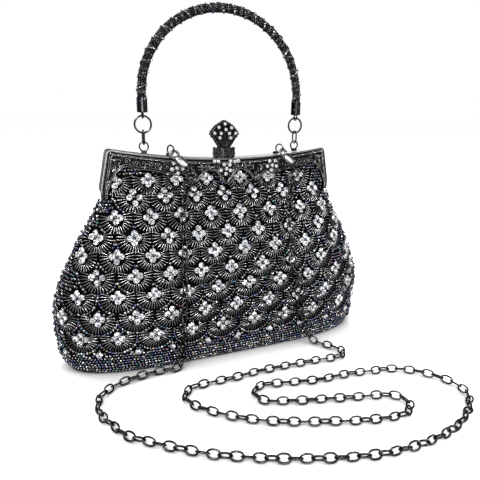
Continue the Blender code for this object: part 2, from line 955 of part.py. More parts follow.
# Lobster clasps. Local axes: X across, Y through the flat, Z up the length
hook_radius = hook_hole / 2
hook_outer = hook_radius + hook_wire
hook_down = Vector(
    (
        math.sin(hook_lean) * math.cos(hook_forward),
        -math.sin(hook_forward),
        -math.cos(hook_lean) * math.cos(hook_forward),
    )
)
hook_flat = (-Y_AXIS - (-Y_AXIS).dot(hook_down) * hook_down).normalized()
hook_flat = Matrix.Rotation(hook_roll, 3, hook_down) @ hook_flat
hook_across = hook_down.cross(hook_flat)
eyelet_ring_across = Vector((math.cos(chain_eyelet_turn), -math.sin(chain_eyelet_turn), 0))
ring_seat = (eyelet_ring_across - Z_AXIS).normalized() * eyelet_radius
hook_centre_drop = hook_radius - eyelet_wire / 2 - fit_gap
chain_eyelet_y = -(frame_face + fit_gap + plate_thickness + chain_eyelet_reach)


def hook_matrix(place_point):
    axes = Matrix((hook_across, hook_flat, -hook_down)).transposed()
    return Matrix.Translation(place_point) @ axes.to_4x4()


def arc(centre_z, radius, start, end, steps):
    turns = [start + (end - start) * i / steps for i in range(steps + 1)]
    return [(radius * math.cos(turn), centre_z + radius * math.sin(turn)) for turn in turns]


def hook_outline():
    """C-shaped hook over a tapering body; the mouth is on the +X side."""
    middle = -hook_centre_drop
    low = middle - hook_length
    inner = arc(middle, hook_radius, hook_mouth, math.radians(298), 14)
    shoulder = (hook_outer * math.cos(math.radians(-58)), middle + hook_outer * math.sin(math.radians(-58)))
    outer = arc(middle, hook_outer, math.radians(190), hook_mouth, 10)
    end = [(hook_end_width / 2, low), (-hook_end_width / 2, low)]
    return inner + [shoulder] + end + outer


def gate_outline(pivot):
    """Curved bar that closes the mouth, drawn about its own pivot."""
    middle = -hook_centre_drop
    centre_line = (hook_radius + hook_outer) / 2
    start = math.radians(-34)
    end = hook_mouth - (fit_gap + gate_bar / 4) / centre_line
    outer = arc(middle, centre_line + gate_bar / 2, start, end, 6)
    inner = arc(middle, centre_line - gate_bar / 2, end, start, 6)
    return [(x - pivot[0], z - pivot[1]) for x, z in outer + inner]


def lobster_clasp(label, side):
    x = side * chain_eyelet_spacing / 2
    centre_z = top_z(x) + eyelet_rise
    centre = Vector((x, chain_eyelet_y, centre_z))
    foot_z = top_z(abs(x) + eyelet_foot_width / 2) + fit_gap
    eyelet(
        label + "_chain_eyelet",
        x,
        chain_eyelet_y,
        centre_z,
        chain_eyelet_turn,
        (x - eyelet_foot_depth / 2, chain_eyelet_y - eyelet_wire / 2, centre_z - eyelet_radius - chain_foot_height / 2),
        (x + eyelet_foot_depth / 2, -frame_face / 2, centre_z - eyelet_radius + chain_foot_height / 2),
    )
    foot = block(
        label + "_chain_post",
        (x - eyelet_foot_depth / 2 - joint_sink, -frame_face / 2 - eyelet_foot_depth, foot_z),
        (x + eyelet_foot_depth / 2 + joint_sink, -frame_face / 2 + joint_sink, centre_z - eyelet_radius),
    )
    boolean(bpy.data.objects[label + "_chain_eyelet"], [foot], "UNION")

    seat = centre + ring_seat
    frame = hook_matrix(seat)
    half = hook_thickness / 2
    body = prism(label + "_lobster_hook", hook_outline(), -half, half, bright_clip, frame=frame)
    end_z = -hook_centre_drop - hook_length
    barrel = rod(
        label + "_hook_barrel",
        barrel_radius,
        frame @ Vector((0, 0, end_z + barrel_length)),
        frame @ Vector((0, 0, end_z - joint_sink)),
    )
    boolean(body, [barrel], "UNION")
    bore = rod(
        label + "_hook_bore",
        swivel_bore / 2,
        frame @ Vector((0, 0, end_z + swivel_post_length + fit_gap)),
        frame @ Vector((0, 0, end_z - joint_sink - cut_overrun)),
    )
    boolean(body, [bore], "DIFFERENCE")

    middle = -hook_centre_drop
    bar_line = (hook_radius + hook_outer) / 2
    pivot = (bar_line * math.cos(math.radians(-34)), middle + bar_line * math.sin(math.radians(-34)))
    gate_half = gate_thickness / 2
    gate_frame = hook_matrix(frame @ Vector((pivot[0], 0, pivot[1])))
    prism(label + "_lobster_gate", gate_outline(pivot), -gate_half, gate_half, bright_clip, frame=gate_frame)

    head_top = end_z - joint_sink - fit_gap
    eye_radius = (eye_diameter - eye_wire) / 2
    eye_z = head_top - swivel_head_height - eye_radius - eye_wire / 2 + joint_sink
    post = rod(
        label + "_swivel_eye",
        swivel_bore / 2 - swivel_clearance,
        frame @ Vector((0, 0, end_z + swivel_post_length)),
        frame @ Vector((0, 0, head_top - swivel_head_height / 2)),
        bright_clip,
    )
    head = rod(
        label + "_swivel_head",
        barrel_radius,
        frame @ Vector((0, 0, head_top)),
        frame @ Vector((0, 0, head_top - swivel_head_height)),
    )
    eye_centre = frame @ Vector((0, 0, eye_z))
    eye_wire_points = ring_points(eye_centre, eye_radius, hook_across, hook_down)
    loop = as_mesh(tube(label + "_swivel_loop", eye_wire_points, eye_wire / 2, closed=True))
    boolean(post, [head, loop], "UNION")

    fall = (-Z_AXIS - (-Z_AXIS).dot(hook_flat) * hook_flat).normalized()
    hold = eye_centre + eye_radius * fall
    tangent = hook_flat.cross(fall)
    hang = (-Z_AXIS - (-Z_AXIS).dot(tangent) * tangent).normalized()
    ring_line = (chain_ring_diameter - chain_ring_wire) / 2
    ring_centre = hold + (ring_line - (eye_wire + chain_ring_wire) / 2 - fit_gap) * hang
    tube(
        label + "_chain_ring",
        ring_points(ring_centre, ring_line, hang, tangent.cross(hang)),
        chain_ring_wire / 2,
        dark_metal,
        closed=True,
    )
    return ring_centre + (chain_ring_diameter / 2 + fit_gap) * hang


chain_ends = {label: lobster_clasp(label, side) for label, side in SIDES}


# Chain route: down the front, round the floor and back up
def chain_clear(x, z):
    """Distance of the chain's centre in front of Y = 0 at a place."""
    plate_front = frame_face + fit_gap + plate_thickness
    stand_off = chain_radius + chain_surface_gap
    if z < body_height:
        return oval_depth(x, half_width_at(z), half_depth_at(z)) + stand_off
    part = min((z - body_height) / (frame_rise / 3), 1)
    return half_depth_at(body_height) * (1 - part) + plate_front * part + stand_off


left_drop_route = [
    (-0.0296, 0.1240),
    (-0.0354, 0.1068),
    (-0.0365, 0.0895),
    (-0.0378, 0.0713),
    (-0.0382, 0.0540),
    (-0.0395, 0.0350),
    (-0.0398, 0.0200),
    (-0.0403, 0.0100),
]
right_drop_route = [
    (0.0500, 0.1223),
    (0.0458, 0.1094),
    (0.0432, 0.0953),
    (0.0438, 0.0850),
    (0.0430, 0.0721),
    (0.0463, 0.0556),
    (0.0492, 0.0420),
    (0.0535, 0.0230),
    (0.0575, 0.0110),
]
floor_route = [
    (-0.0430, -0.0335), (-0.0520, -0.0345), (-0.0640, -0.0345), (-0.0760, -0.0365),
    (-0.0870, -0.0400), (-0.0960, -0.0470), (-0.1000, -0.0570), (-0.0990, -0.0680),
    (-0.0940, -0.0790), (-0.0880, -0.0900), (-0.0780, -0.0990), (-0.0640, -0.1100),
    (-0.0490, -0.1205), (-0.0340, -0.1285), (-0.0180, -0.1360), (0.0000, -0.1430),
    (0.0180, -0.1490), (0.0360, -0.1530), (0.0560, -0.1545), (0.0740, -0.1535),
    (0.0900, -0.1500), (0.1030, -0.1440), (0.1130, -0.1370), (0.1195, -0.1280),
    (0.1195, -0.1170), (0.1130, -0.1050), (0.1040, -0.0960), (0.0920, -0.0895),
    (0.0780, -0.0870), (0.0600, -0.0838), (0.0420, -0.0830), (0.0260, -0.0800),
    (0.0120, -0.0765), (0.0000, -0.0745), (-0.0075, -0.0800), (-0.0050, -0.0895),
    (0.0060, -0.0945), (0.0200, -0.0990), (0.0360, -0.1035), (0.0520, -0.1080),
    (0.0660, -0.1115), (0.0755, -0.1170), (0.0755, -0.1265), (0.0660, -0.1315),
    (0.0520, -0.1300), (0.0360, -0.1260), (0.0220, -0.1210), (0.0080, -0.1160),
    (-0.0060, -0.1100), (-0.0190, -0.1030), (-0.0300, -0.0950), (-0.0400, -0.0860),
    (-0.0470, -0.0770), (-0.0490, -0.0670), (-0.0420, -0.0605), (-0.0300, -0.0595),
    (-0.0150, -0.0600), (0.0000, -0.0590), (0.0150, -0.0590), (0.0330, -0.0600),
    (0.0500, -0.0610), (0.0660, -0.0625), (0.0750, -0.0590), (0.0730, -0.0500),
    (0.0675, -0.0420), (0.0640, -0.0365),
]


def curve_through(points, steps=8):
    """Catmull-Rom curve through hand-placed points."""
    ends = [points[0]] + points + [points[-1]]
    made = []
    for i in range(1, len(ends) - 2):
        a, b, c, d = ends[i - 1:i + 3]
        for k in range(steps):
            t = k / steps
            made.append(
                b + (c - a) * (t / 2)
                + (2 * a - 5 * b + 4 * c - d) * (t * t / 2)
                + (3 * b - a - 3 * c + d) * (t * t * t / 2)
            )
    return made + [points[-1]]


def chain_route():
    left = [chain_ends["left"]]
    left += [Vector((x, -chain_clear(x, z), z)) for x, z in left_drop_route]
    right = [chain_ends["right"]]
    right += [Vector((x, -chain_clear(x, z), z)) for x, z in right_drop_route]
    level = chain_radius + fit_gap
    floor = [Vector((x, y, level)) for x, y in floor_route]
    return curve_through(left + floor + right[::-1])


def spaced(points, spacing):
    """Evenly spaced points along a fine polyline, both ends kept."""
    lengths = [0]
    for a, b in zip(points, points[1:]):
        lengths.append(lengths[-1] + (b - a).length)
    count = max(round(lengths[-1] / spacing), 1)
    made = []
    seek = 0
    for i in range(count + 1):
        goal = lengths[-1] * i / count
        while seek < len(points) - 2 and lengths[seek + 1] < goal:
            seek += 1
        span = lengths[seek + 1] - lengths[seek]
        part = (goal - lengths[seek]) / span if span else 0
        made.append(points[seek].lerp(points[seek + 1], part))
    return made


def straight_end(points, toward):
    """Square the last stretch of a cord to the direction of its end."""
    end = points[-1]
    return points[:-1] + [end - toward * chain_radius, end]


def chain():
    """Three cords with their ends face to face across fit_gap."""
    route = chain_route()
    first = next(i for i, p in enumerate(route) if p.z < chain_split_height)
    last = max(i for i, p in enumerate(route) if p.z < chain_split_height)
    run = spaced(route[first:last + 1], chain_floor_spacing)
    drops = {}
    for label, points, step in (("left", route[:first + 1], 1), ("right", route[:last - 1:-1], -1)):
        index = first if step == 1 else last
        toward = (route[index + step] - route[index - step]).normalized()
        drops[label] = straight_end(spaced(points, chain_drop_spacing), toward)
        end = route[index] + toward * fit_gap
        if step == 1:
            run = straight_end(run[:0:-1] + [end], -toward)[::-1]
        else:
            run = straight_end(run[:-1] + [end], -toward)
    tube("chain_floor_run", run, chain_radius, chain_metal, detail=2)
    for label, points in drops.items():
        tube(label + "_chain_drop", points, chain_radius, chain_metal, detail=2)


chain()
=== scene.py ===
# %% [markdown]
# # Beaded evening clutch
# A framed evening bag: a cloth body sewn all over with glass beads, a hinged metal frame with stamped
# plates, a fan-shaped clasp, a beaded handle and a chain. The solid model is the fixed frame; this file
# gives it its looks.
#
# Metres throughout. The origin is the middle of the base, +X is to the right from the front, which faces
# -Y.

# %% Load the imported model
import math

import bpy
import numpy as np
from mathutils import Matrix, Vector
from mathutils.kdtree import KDTree


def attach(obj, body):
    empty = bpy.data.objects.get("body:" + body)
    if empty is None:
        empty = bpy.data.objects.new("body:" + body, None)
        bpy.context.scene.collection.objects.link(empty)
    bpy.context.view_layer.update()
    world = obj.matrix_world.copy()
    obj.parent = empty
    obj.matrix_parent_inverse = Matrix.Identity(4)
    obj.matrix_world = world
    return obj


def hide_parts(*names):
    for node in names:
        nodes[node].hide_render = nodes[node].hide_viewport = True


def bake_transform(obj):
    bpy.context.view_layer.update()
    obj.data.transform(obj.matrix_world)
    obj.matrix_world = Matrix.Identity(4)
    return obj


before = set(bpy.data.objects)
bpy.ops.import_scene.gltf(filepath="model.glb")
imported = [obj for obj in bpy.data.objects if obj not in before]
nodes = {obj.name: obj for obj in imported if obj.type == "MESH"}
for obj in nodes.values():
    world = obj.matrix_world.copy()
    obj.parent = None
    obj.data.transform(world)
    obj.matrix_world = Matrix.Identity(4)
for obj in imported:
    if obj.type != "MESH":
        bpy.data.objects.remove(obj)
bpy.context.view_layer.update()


def added(name, data):
    """New object of the scene with the given data."""
    obj = bpy.data.objects.new(name, data)
    bpy.context.scene.collection.objects.link(obj)
    return obj


def in_pairs(*names):
    return [f"{side}_{name}" for name in names for side in ("left", "right")]


print(f"{len(nodes)} nodes loaded")

# %% [markdown]
# ## Camera
# The photograph was taken from the left of the bag, a little above its clasp. The place, the turn and the
# lens come from a pinhole camera fitted to the frame's corners, the eyelets, the base line and the chain on
# the floor.

# %% Camera
CAMERA_PLACE = (-0.11157, -0.29837, 0.17044)
YAW, PITCH, ROLL = (math.radians(a) for a in (22.956, 15.637, 0.906))
LENS, SENSOR, NEAREST = 33.0, 36, 0.01


def aim_camera():
    """Camera matrix whose columns are the picture's right and up and the reverse of the line of sight."""
    right = Vector((math.cos(YAW), -math.sin(YAW), 0))
    ahead = Vector((math.sin(YAW) * math.cos(PITCH), math.cos(YAW) * math.cos(PITCH), -math.sin(PITCH)))
    up = right.cross(ahead)
    across = math.cos(ROLL) * right + math.sin(ROLL) * up
    above = math.cos(ROLL) * up - math.sin(ROLL) * right
    turn = Matrix((across, above, -ahead)).transposed().to_4x4()
    return Matrix.Translation(CAMERA_PLACE) @ turn


camera = added("camera", bpy.data.cameras.new("camera"))
camera.data.lens = LENS
camera.data.sensor_width = SENSOR
camera.data.clip_start = NEAREST
camera.matrix_world = aim_camera()
bpy.context.scene.camera = camera
bpy.context.scene.view_settings.view_transform = "Standard"
print(f"camera at {CAMERA_PLACE}")

# %% [markdown]
# ## Shader nodes
# World, floor and materials are all small node trees, so one helper makes a node and fills its sockets in
# one line.


# %% Node helper
def fill(tree, inlet, value):
    """A value set on a socket, or a link to it from another node's output."""
    if isinstance(value, bpy.types.NodeSocket):
        tree.links.new(value, inlet)
    else:
        inlet.default_value = value


def node(tree, kind, *placed, **named):
    """Outputs of a new node. Sockets are filled by place or name; names in small letters are settings."""
    made = tree.nodes.new("ShaderNode" + kind)
    for key in [k for k in named if k.islower()]:
        setattr(made, key, named.pop(key))
    for key, value in [*enumerate(placed), *named.items()]:
        fill(tree, made.inputs[key if isinstance(key, int) else key.replace("_", " ")], value)
    return made.outputs


def grey(tone):
    return (tone, tone, tone, 1)


print("node helper ready")

# %% [markdown]
# ## Floor and light
# A white sweep of light from above and in front, as in a light tent: a broad sky and five square lamps.

# %% Lamps
SKY_POWER, SKY_SPREAD, SKY_TILT = 2.6, 70, (12, -8, 0)
LAMPS = {  # place, height aimed at, size and power of square soft lights that face the bag
    "key": ((-0.60, -0.80, 0.90), 0.08, 0.30, 15), "fill": ((0.75, -0.75, 0.45), 0.08, 0.35, 8),
    "low": ((-0.1, -1.1, 0.25), 0.07, 0.25, 5), "back_key": ((0.55, 0.85, 0.85), 0.08, 0.30, 9),
    "back_fill": ((-0.75, 0.70, 0.45), 0.08, 0.35, 5),
}


def lamp(name, kind, power):
    data = bpy.data.lights.new(name, kind)
    data.energy = power
    return added(name, data)


sky = lamp("sky", "SUN", SKY_POWER)
sky.data.angle = math.radians(SKY_SPREAD)
sky.rotation_euler = [math.radians(a) for a in SKY_TILT]
sky.visible_glossy = False
for name, (place, aim, size, power) in LAMPS.items():
    square = lamp(name, "AREA", power)
    square.data.size = size
    square.location = place
    square.rotation_euler = (Vector((0, 0, aim)) - Vector(place)).to_track_quat("-Z", "Y").to_euler()
print(f"{len(LAMPS) + 1} lamps set")

# %% [markdown]
# World and floor are white for the camera, with a painted shadow on the floor close under things. Mirror-like
# reflections see a dark room with one soft box and a few small panels, and a painted reflection of the soft
# box in the floor, so that metal and glass keep contrast.


# %% World and floor
SOFT_BOX = (-0.38, -0.88, 0.28)
PATCHES, PANEL_EDGE, BOX_EDGE, IMAGE_EDGE = 3.4, (0.565, 0.61), (0.48, 0.90), (0.60, 0.97)


def world_light(seen=1.0, dim=0.01, bright=1.1, front=1.5, soft=0.30):
    """White to the camera, grey to diffuse light; mirror-like rays meet a soft box and patchy panels."""
    world = bpy.data.worlds.new("studio")
    bpy.context.scene.world = world
    world.use_nodes = True
    tree = world.node_tree
    place = node(tree, "TexCoord")["Generated"]
    noise = node(tree, "TexNoise", Vector=place, Scale=PATCHES, Detail=1)["Fac"]
    low, high = PANEL_EDGE
    panels = node(tree, "MapRange", Value=noise, From_Min=low, From_Max=high, To_Min=dim, To_Max=bright)
    facing = node(tree, "VectorMath", place, Vector(SOFT_BOX).normalized(), operation="DOT_PRODUCT")["Value"]
    low, high = BOX_EDGE
    box = node(tree, "MapRange", Value=facing, From_Min=low, From_Max=high, To_Min=0, To_Max=front,
               interpolation_type="SMOOTHSTEP")
    both = node(tree, "Math", panels["Result"], box["Result"], operation="MAXIMUM")["Value"]
    ray = node(tree, "LightPath")
    glossy = node(tree, "Mix", Factor=ray["Is Glossy Ray"], A=soft, B=both)["Result"]
    strength = node(tree, "Mix", Factor=ray["Is Camera Ray"], A=glossy, B=seen)["Result"]
    background = tree.nodes["Background"].inputs
    fill(tree, background["Strength"], strength)
    fill(tree, background["Color"], grey(1))


def white_floor(half=30.0, pale=0.92, contact=0.035, dim=0.06, bright=0.50):
    """White floor with a painted shadow close under things; mirror-like rays see it dark, with a painted
    soft-box reflection.
    """
    mesh = bpy.data.meshes.new("floor")
    corners = [(x * half, y * half, 0) for x, y in ((-1, -1), (1, -1), (1, 1), (-1, 1))]
    mesh.from_pydata(corners, [], [(0, 1, 2, 3)])
    paint = bpy.data.materials.new("floor_white")
    paint.use_nodes = True
    tree = paint.node_tree
    # painted shadow: ambient occlusion darkens the floor close under things
    painted_contact_shadow = node(tree, "AmbientOcclusion", samples=8, Distance=contact, Color=grey(pale))["Color"]
    mirrored = (-SOFT_BOX[0], -SOFT_BOX[1], SOFT_BOX[2])
    incoming = node(tree, "NewGeometry")["Incoming"]
    facing = node(tree, "VectorMath", incoming, mirrored, operation="DOT_PRODUCT")["Value"]
    low, high = IMAGE_EDGE
    # painted reflection: the floor brightens where a mirror-like ray would see the soft box mirrored in it
    painted_box_reflection = node(tree, "MapRange", Value=facing, From_Min=low, From_Max=high, To_Min=dim, To_Max=bright,
                 interpolation_type="SMOOTHSTEP")["Result"]
    glossy = node(tree, "LightPath")["Is Glossy Ray"]
    tone = node(tree, "Mix", data_type="RGBA", Factor=glossy, A=painted_contact_shadow, B=painted_box_reflection)["Result"]
    shader = tree.nodes["Principled BSDF"].inputs
    for label, value in (("Base Color", tone), ("Roughness", 0.9), ("Specular IOR Level", 0.1)):
        fill(tree, shader[label], value)
    mesh.materials.append(paint)
    added("floor", mesh)


world_light()
white_floor()
print("white floor and background set")

# %% [markdown]
# ## Meshes from arrays
# Beads are strung by the thousand, so a bead is drawn once as a template and copied by arithmetic: every
# copy is the template's points times its own three axes, plus its own place. One mesh then holds a whole
# field of beads, and a colour attribute called tint tells the material which glass each bead is. A set is
# (points, faces, tint).


# %% Mesh helpers
HALVES = (("front", False), ("rear", True))
BEND = {"start": (0, 0, 0.104), "end": (0, 0, 0.124)}


def unit(v):
    return v / np.maximum(np.linalg.norm(v, axis=-1, keepdims=True), 1e-12)


def circle(count, phase=0.0):
    """Cosines and sines of evenly spaced angles."""
    turn = phase + 2 * math.pi * np.arange(count) / count
    return np.cos(turn), np.sin(turn)


def white(verts):
    return np.ones((len(verts), 3))


def stacked(*parts):
    return np.stack(np.broadcast_arrays(*parts), axis=-1)


def new_object(name, verts, faces, tint, material, smooth=True):
    """Object at the origin from point and quad arrays; tint is one colour per point, or None."""
    mesh = bpy.data.meshes.new(name)
    verts = np.asarray(verts, dtype=np.float32)
    faces = np.asarray(faces, dtype=np.int32)
    mesh.vertices.add(len(verts))
    mesh.vertices.foreach_set("co", verts.ravel())
    mesh.loops.add(faces.size)
    mesh.loops.foreach_set("vertex_index", faces.ravel())
    mesh.polygons.add(len(faces))
    mesh.polygons.foreach_set("loop_start", np.arange(len(faces), dtype=np.int32) * faces.shape[1])
    mesh.polygons.foreach_set("use_smooth", np.full(len(faces), smooth))
    mesh.update(calc_edges=True)
    mesh.validate()
    if tint is not None:
        colours = mesh.attributes.new("tint", "FLOAT_COLOR", "POINT")
        colours.data.foreach_set("color", np.c_[tint, np.ones(len(tint))].astype(np.float32).ravel())
    mesh.materials.append(material)
    return added(name, mesh)


def make_piece(name, part, material, body, back=False, smooth=True, stands_for=None):
    """New piece from one set, turned to the back if asked. It rides on a body named by a string; given two,
    it stays where it is.
    """
    verts, faces, tint = part
    piece = new_object(name, verts * (-1, -1, 1) if back else verts, faces, tint, material, smooth)
    if isinstance(body, str):
        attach(piece, body)
    else:
        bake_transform(piece)
    if stands_for:
        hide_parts(stands_for)
    print(name, len(faces), "faces")


def joined(parts):
    """Several sets as one."""
    verts, faces, tints = zip(*parts)
    offset = np.cumsum([0] + [len(v) for v in verts[:-1]])
    faces = [f + o for f, o in zip(faces, offset)]
    return np.concatenate(verts), np.concatenate(faces), np.concatenate(tints)


def scatter(template, places, axes, sizes, tints):
    """Copies of a template: its points times sizes, along each copy's own axes, moved to its place."""
    points, faces = template
    sized = points[None] * np.asarray(sizes, dtype=float).reshape(len(places), 1, -1)
    verts = np.einsum("nkj,nij->nki", sized, axes) + places[:, None]
    all_faces = faces[None] + (np.arange(len(places)) * len(points))[:, None, None]
    return verts.reshape(-1, 3), all_faces.reshape(-1, faces.shape[1]), np.repeat(tints, len(points), axis=0)


def grid_faces(rows, columns, closed=False):
    """Quads of a grid of points, rows by columns; closed joins the last column to the first."""
    span = columns if closed else columns - 1
    i, j = np.meshgrid(np.arange(rows - 1), np.arange(span), indexing="ij")
    k = (j + 1) % columns
    quads = stacked(i * columns + j, i * columns + k, (i + 1) * columns + k, (i + 1) * columns + j)
    return quads.reshape(-1, 4)


def skin(grid, closed=True):
    """Set from a grid of points (rows, columns, 3)."""
    verts = grid.reshape(-1, 3)
    return verts, grid_faces(*grid.shape[:2], closed), white(verts)


def turned(profile, sides):
    """Template turned about its local X: profile rows are (along, radius)."""
    along, radius = np.array(profile, dtype=float).T
    ring = stacked(0.0, *circle(sides))
    points = ring[None] * radius[:, None, None]
    points[..., 0] += along[:, None]
    return points.reshape(-1, 3), grid_faces(len(along), sides, closed=True)


def sweep_frames(points, up=(0.0, -1.0, 0.0), closed=False):
    """Directions along a line and across it: (along, side, up made square to it)."""
    if closed:
        along = unit(np.roll(points, -1, 0) - np.roll(points, 1, 0))
    else:
        along = unit(np.gradient(points, axis=0))
    lifted = unit(up - (np.array(up) * along).sum(-1, keepdims=True) * along)
    return along, np.cross(lifted, along), lifted


def tube(points, radius, up=(0.0, -1.0, 0.0), sides=6, closed=False, flat=1.0):
    """Round wire along points; radius may vary from point to point; flat squeezes it along up."""
    points = np.asarray(points, dtype=float)
    along, side, lifted = sweep_frames(points, up, closed)
    right, high = (c[None, :, None] for c in circle(sides))
    radius = np.broadcast_to(np.asarray(radius, dtype=float), len(points))[:, None, None]
    ring = right * side[:, None] + flat * high * lifted[:, None]
    verts = (points[:, None] + radius * ring).reshape(-1, 3)
    faces = grid_faces(len(points), sides, closed=True)
    if closed:
        first = np.arange(sides)
        last = (len(points) - 1) * sides + first
        faces = np.r_[faces, stacked(last, np.roll(last, -1), np.roll(first, -1), first)]
    return verts, faces, white(verts)


def even_points(points, step):
    """Points a step apart along a fine polyline, and its length."""
    points = np.asarray(points, dtype=float)
    lengths = np.r_[0, np.cumsum(np.linalg.norm(np.diff(points, axis=0), axis=1))]
    seek = np.linspace(0, lengths[-1], max(round(lengths[-1] / step), 1) + 1)
    return np.stack([np.interp(seek, lengths, column) for column in points.T], axis=-1), lengths[-1]


print("mesh helpers ready")

# %% [markdown]
# ## Node groups and materials
# Shared effects are node groups. One mottles a metal in two tones at random; real antique plating is dark
# in its hollows and worn bright where it is touched. One tones glass beads by their tint, one is a weave.
# Each material holds its own shader.


# %% Node groups
def node_group(name, inputs, outputs):
    """New shader group with its entry sockets and its leaving ones; inputs map a name to (type, default)."""
    group = bpy.data.node_groups.new(name, "ShaderNodeTree")
    for label, (kind, value) in inputs.items():
        group.interface.new_socket(label, in_out="INPUT", socket_type=kind).default_value = value
    for label, kind in outputs.items():
        group.interface.new_socket(label, in_out="OUTPUT", socket_type=kind)
    return group, group.nodes.new("NodeGroupInput").outputs, group.nodes.new("NodeGroupOutput").inputs


FLOAT, COLOUR, VECTOR = "NodeSocketFloat", "NodeSocketColor", "NodeSocketVector"


def tarnish_group():
    """Mottled plating: a noise mixes two tones of metal and roughens and dents it a little."""
    group, entry, leave = node_group(
        "tarnish",
        {"Bright": (COLOUR, grey(0.6)), "Dark": (COLOUR, grey(0.1)), "Amount": (FLOAT, 0.5),
         "Scale": (FLOAT, 400.0), "Roughness": (FLOAT, 0.3), "Relief": (FLOAT, 0.2)},
        {"Color": COLOUR, "Roughness": FLOAT, "Normal": VECTOR},
    )
    place = node(group, "TexCoord")["Object"]
    noise = node(group, "TexNoise", Vector=place, Scale=entry["Scale"], Detail=4)["Fac"]
    spread = node(group, "MapRange", Value=noise, From_Min=0.35, From_Max=0.65)["Result"]
    dull = node(group, "Math", spread, entry["Amount"], operation="MULTIPLY")["Value"]
    tone = node(group, "Mix", data_type="RGBA", Factor=dull, A=entry["Bright"], B=entry["Dark"])["Result"]
    rough = node(group, "Math", dull, 0.25, entry["Roughness"], operation="MULTIPLY_ADD")["Value"]
    bump = node(group, "Bump", Distance=0.0002, Strength=entry["Relief"], Height=noise)["Normal"]
    for label, value in (("Color", tone), ("Roughness", rough), ("Normal", bump)):
        fill(group, leave[label], value)
    return group


def glass_group():
    """Bead glass: the point colour called tint, lightly clouded from bead to bead."""
    group, entry, leave = node_group(
        "bead_glass",
        {"Cloud": (FLOAT, 0.3), "Scale": (FLOAT, 900.0), "Gain": (FLOAT, 1.0), "Roughness": (FLOAT, 0.05)},
        {"Color": COLOUR, "Roughness": FLOAT},
    )
    tint = node(group, "Attribute", attribute_name="tint")["Color"]
    noise = node(group, "TexNoise", Vector=node(group, "TexCoord")["Object"], Scale=entry["Scale"])["Fac"]
    shade = node(group, "Math", noise, entry["Cloud"], entry["Gain"], operation="MULTIPLY_ADD")["Value"]
    rough = node(group, "Math", noise, 0.12, entry["Roughness"], operation="MULTIPLY_ADD")["Value"]
    fill(group, leave["Color"], node(group, "VectorMath", tint, operation="SCALE", Scale=shade)["Vector"])
    fill(group, leave["Roughness"], rough)
    return group


def weave_group():
    """Plain weave: two crossed waves raise the threads of warp and weft over each other."""
    group, entry, leave = node_group(
        "weave",
        {"Thread": (COLOUR, grey(0.03)), "Gap": (COLOUR, grey(0.01)), "Count": (FLOAT, 900.0),
         "Relief": (FLOAT, 0.6)},
        {"Color": COLOUR, "Normal": VECTOR},
    )
    place = node(group, "TexCoord")["Object"]
    waves = [node(group, "TexWave", Vector=place, Scale=entry["Count"], Distortion=1.2, Detail=1,
                  bands_direction=direction)["Fac"] for direction in ("X", "Z")]
    both = node(group, "Math", *waves, operation="MULTIPLY")["Value"]
    tone = node(group, "Mix", data_type="RGBA", Factor=both, A=entry["Gap"], B=entry["Thread"])["Result"]
    fill(group, leave["Color"], tone)
    bump = node(group, "Bump", Distance=0.0003, Strength=entry["Relief"], Height=both)["Normal"]
    fill(group, leave["Normal"], bump)
    return group


TARNISH, GLASS, WEAVE = tarnish_group(), glass_group(), weave_group()
print("node groups made")

# %% [markdown]
# Plated metal is one shader with the tarnish group in front. Glass beads are dark and glossy with a hard
# coat, as fired glass is; crystals are cut stones over a mirror foil, drawn as bright facets with painted
# light and shade: each facet is painted lighter or darker as if lit.


# %% Materials
def shaded(name, group, entry, links, fixed):
    """Material with one group feeding its shader; fixed values sit on the shader's own sockets."""
    made = bpy.data.materials.new(name)
    made.use_nodes = True
    tree = made.node_tree
    used = tree.nodes.new("ShaderNodeGroup")
    used.node_tree = group
    shader = tree.nodes["Principled BSDF"].inputs
    for label, value in entry.items():
        fill(tree, used.inputs[label], value)
    for outlet, inlet in links.items():
        fill(tree, shader[inlet], used.outputs[outlet])
    for label, value in fixed.items():
        fill(tree, shader[label], value)
    return made


def metal(name, bright, dark, roughness, amount=0.6, scale=500.0, relief=0.15):
    entry = {"Bright": (*bright, 1), "Dark": (*dark, 1), "Amount": amount, "Scale": scale,
             "Roughness": roughness, "Relief": relief}
    links = {"Color": "Base Color", "Roughness": "Roughness", "Normal": "Normal"}
    return shaded(name, TARNISH, entry, links, {"Metallic": 1.0})


def glass(name, gain, metallic, cloud=0.5, coat=0.1, scale=900.0, rough=0.03):
    entry = {"Cloud": cloud, "Gain": gain, "Scale": scale, "Roughness": rough}
    links = {"Color": "Base Color", "Roughness": "Roughness"}
    fixed = {"Metallic": metallic, "Coat Weight": coat, "Coat Roughness": 0.05}
    return shaded(name, GLASS, entry, links, fixed)


def cloth(name, thread, gap, count, roughness=0.7, sheen=0.0, gloss=0.0):
    entry = {"Thread": (*thread, 1), "Gap": (*gap, 1), "Count": count}
    fixed = {"Roughness": roughness, "Sheen Weight": sheen, "Specular IOR Level": gloss}
    return shaded(name, WEAVE, entry, {"Color": "Base Color", "Normal": "Normal"}, fixed)


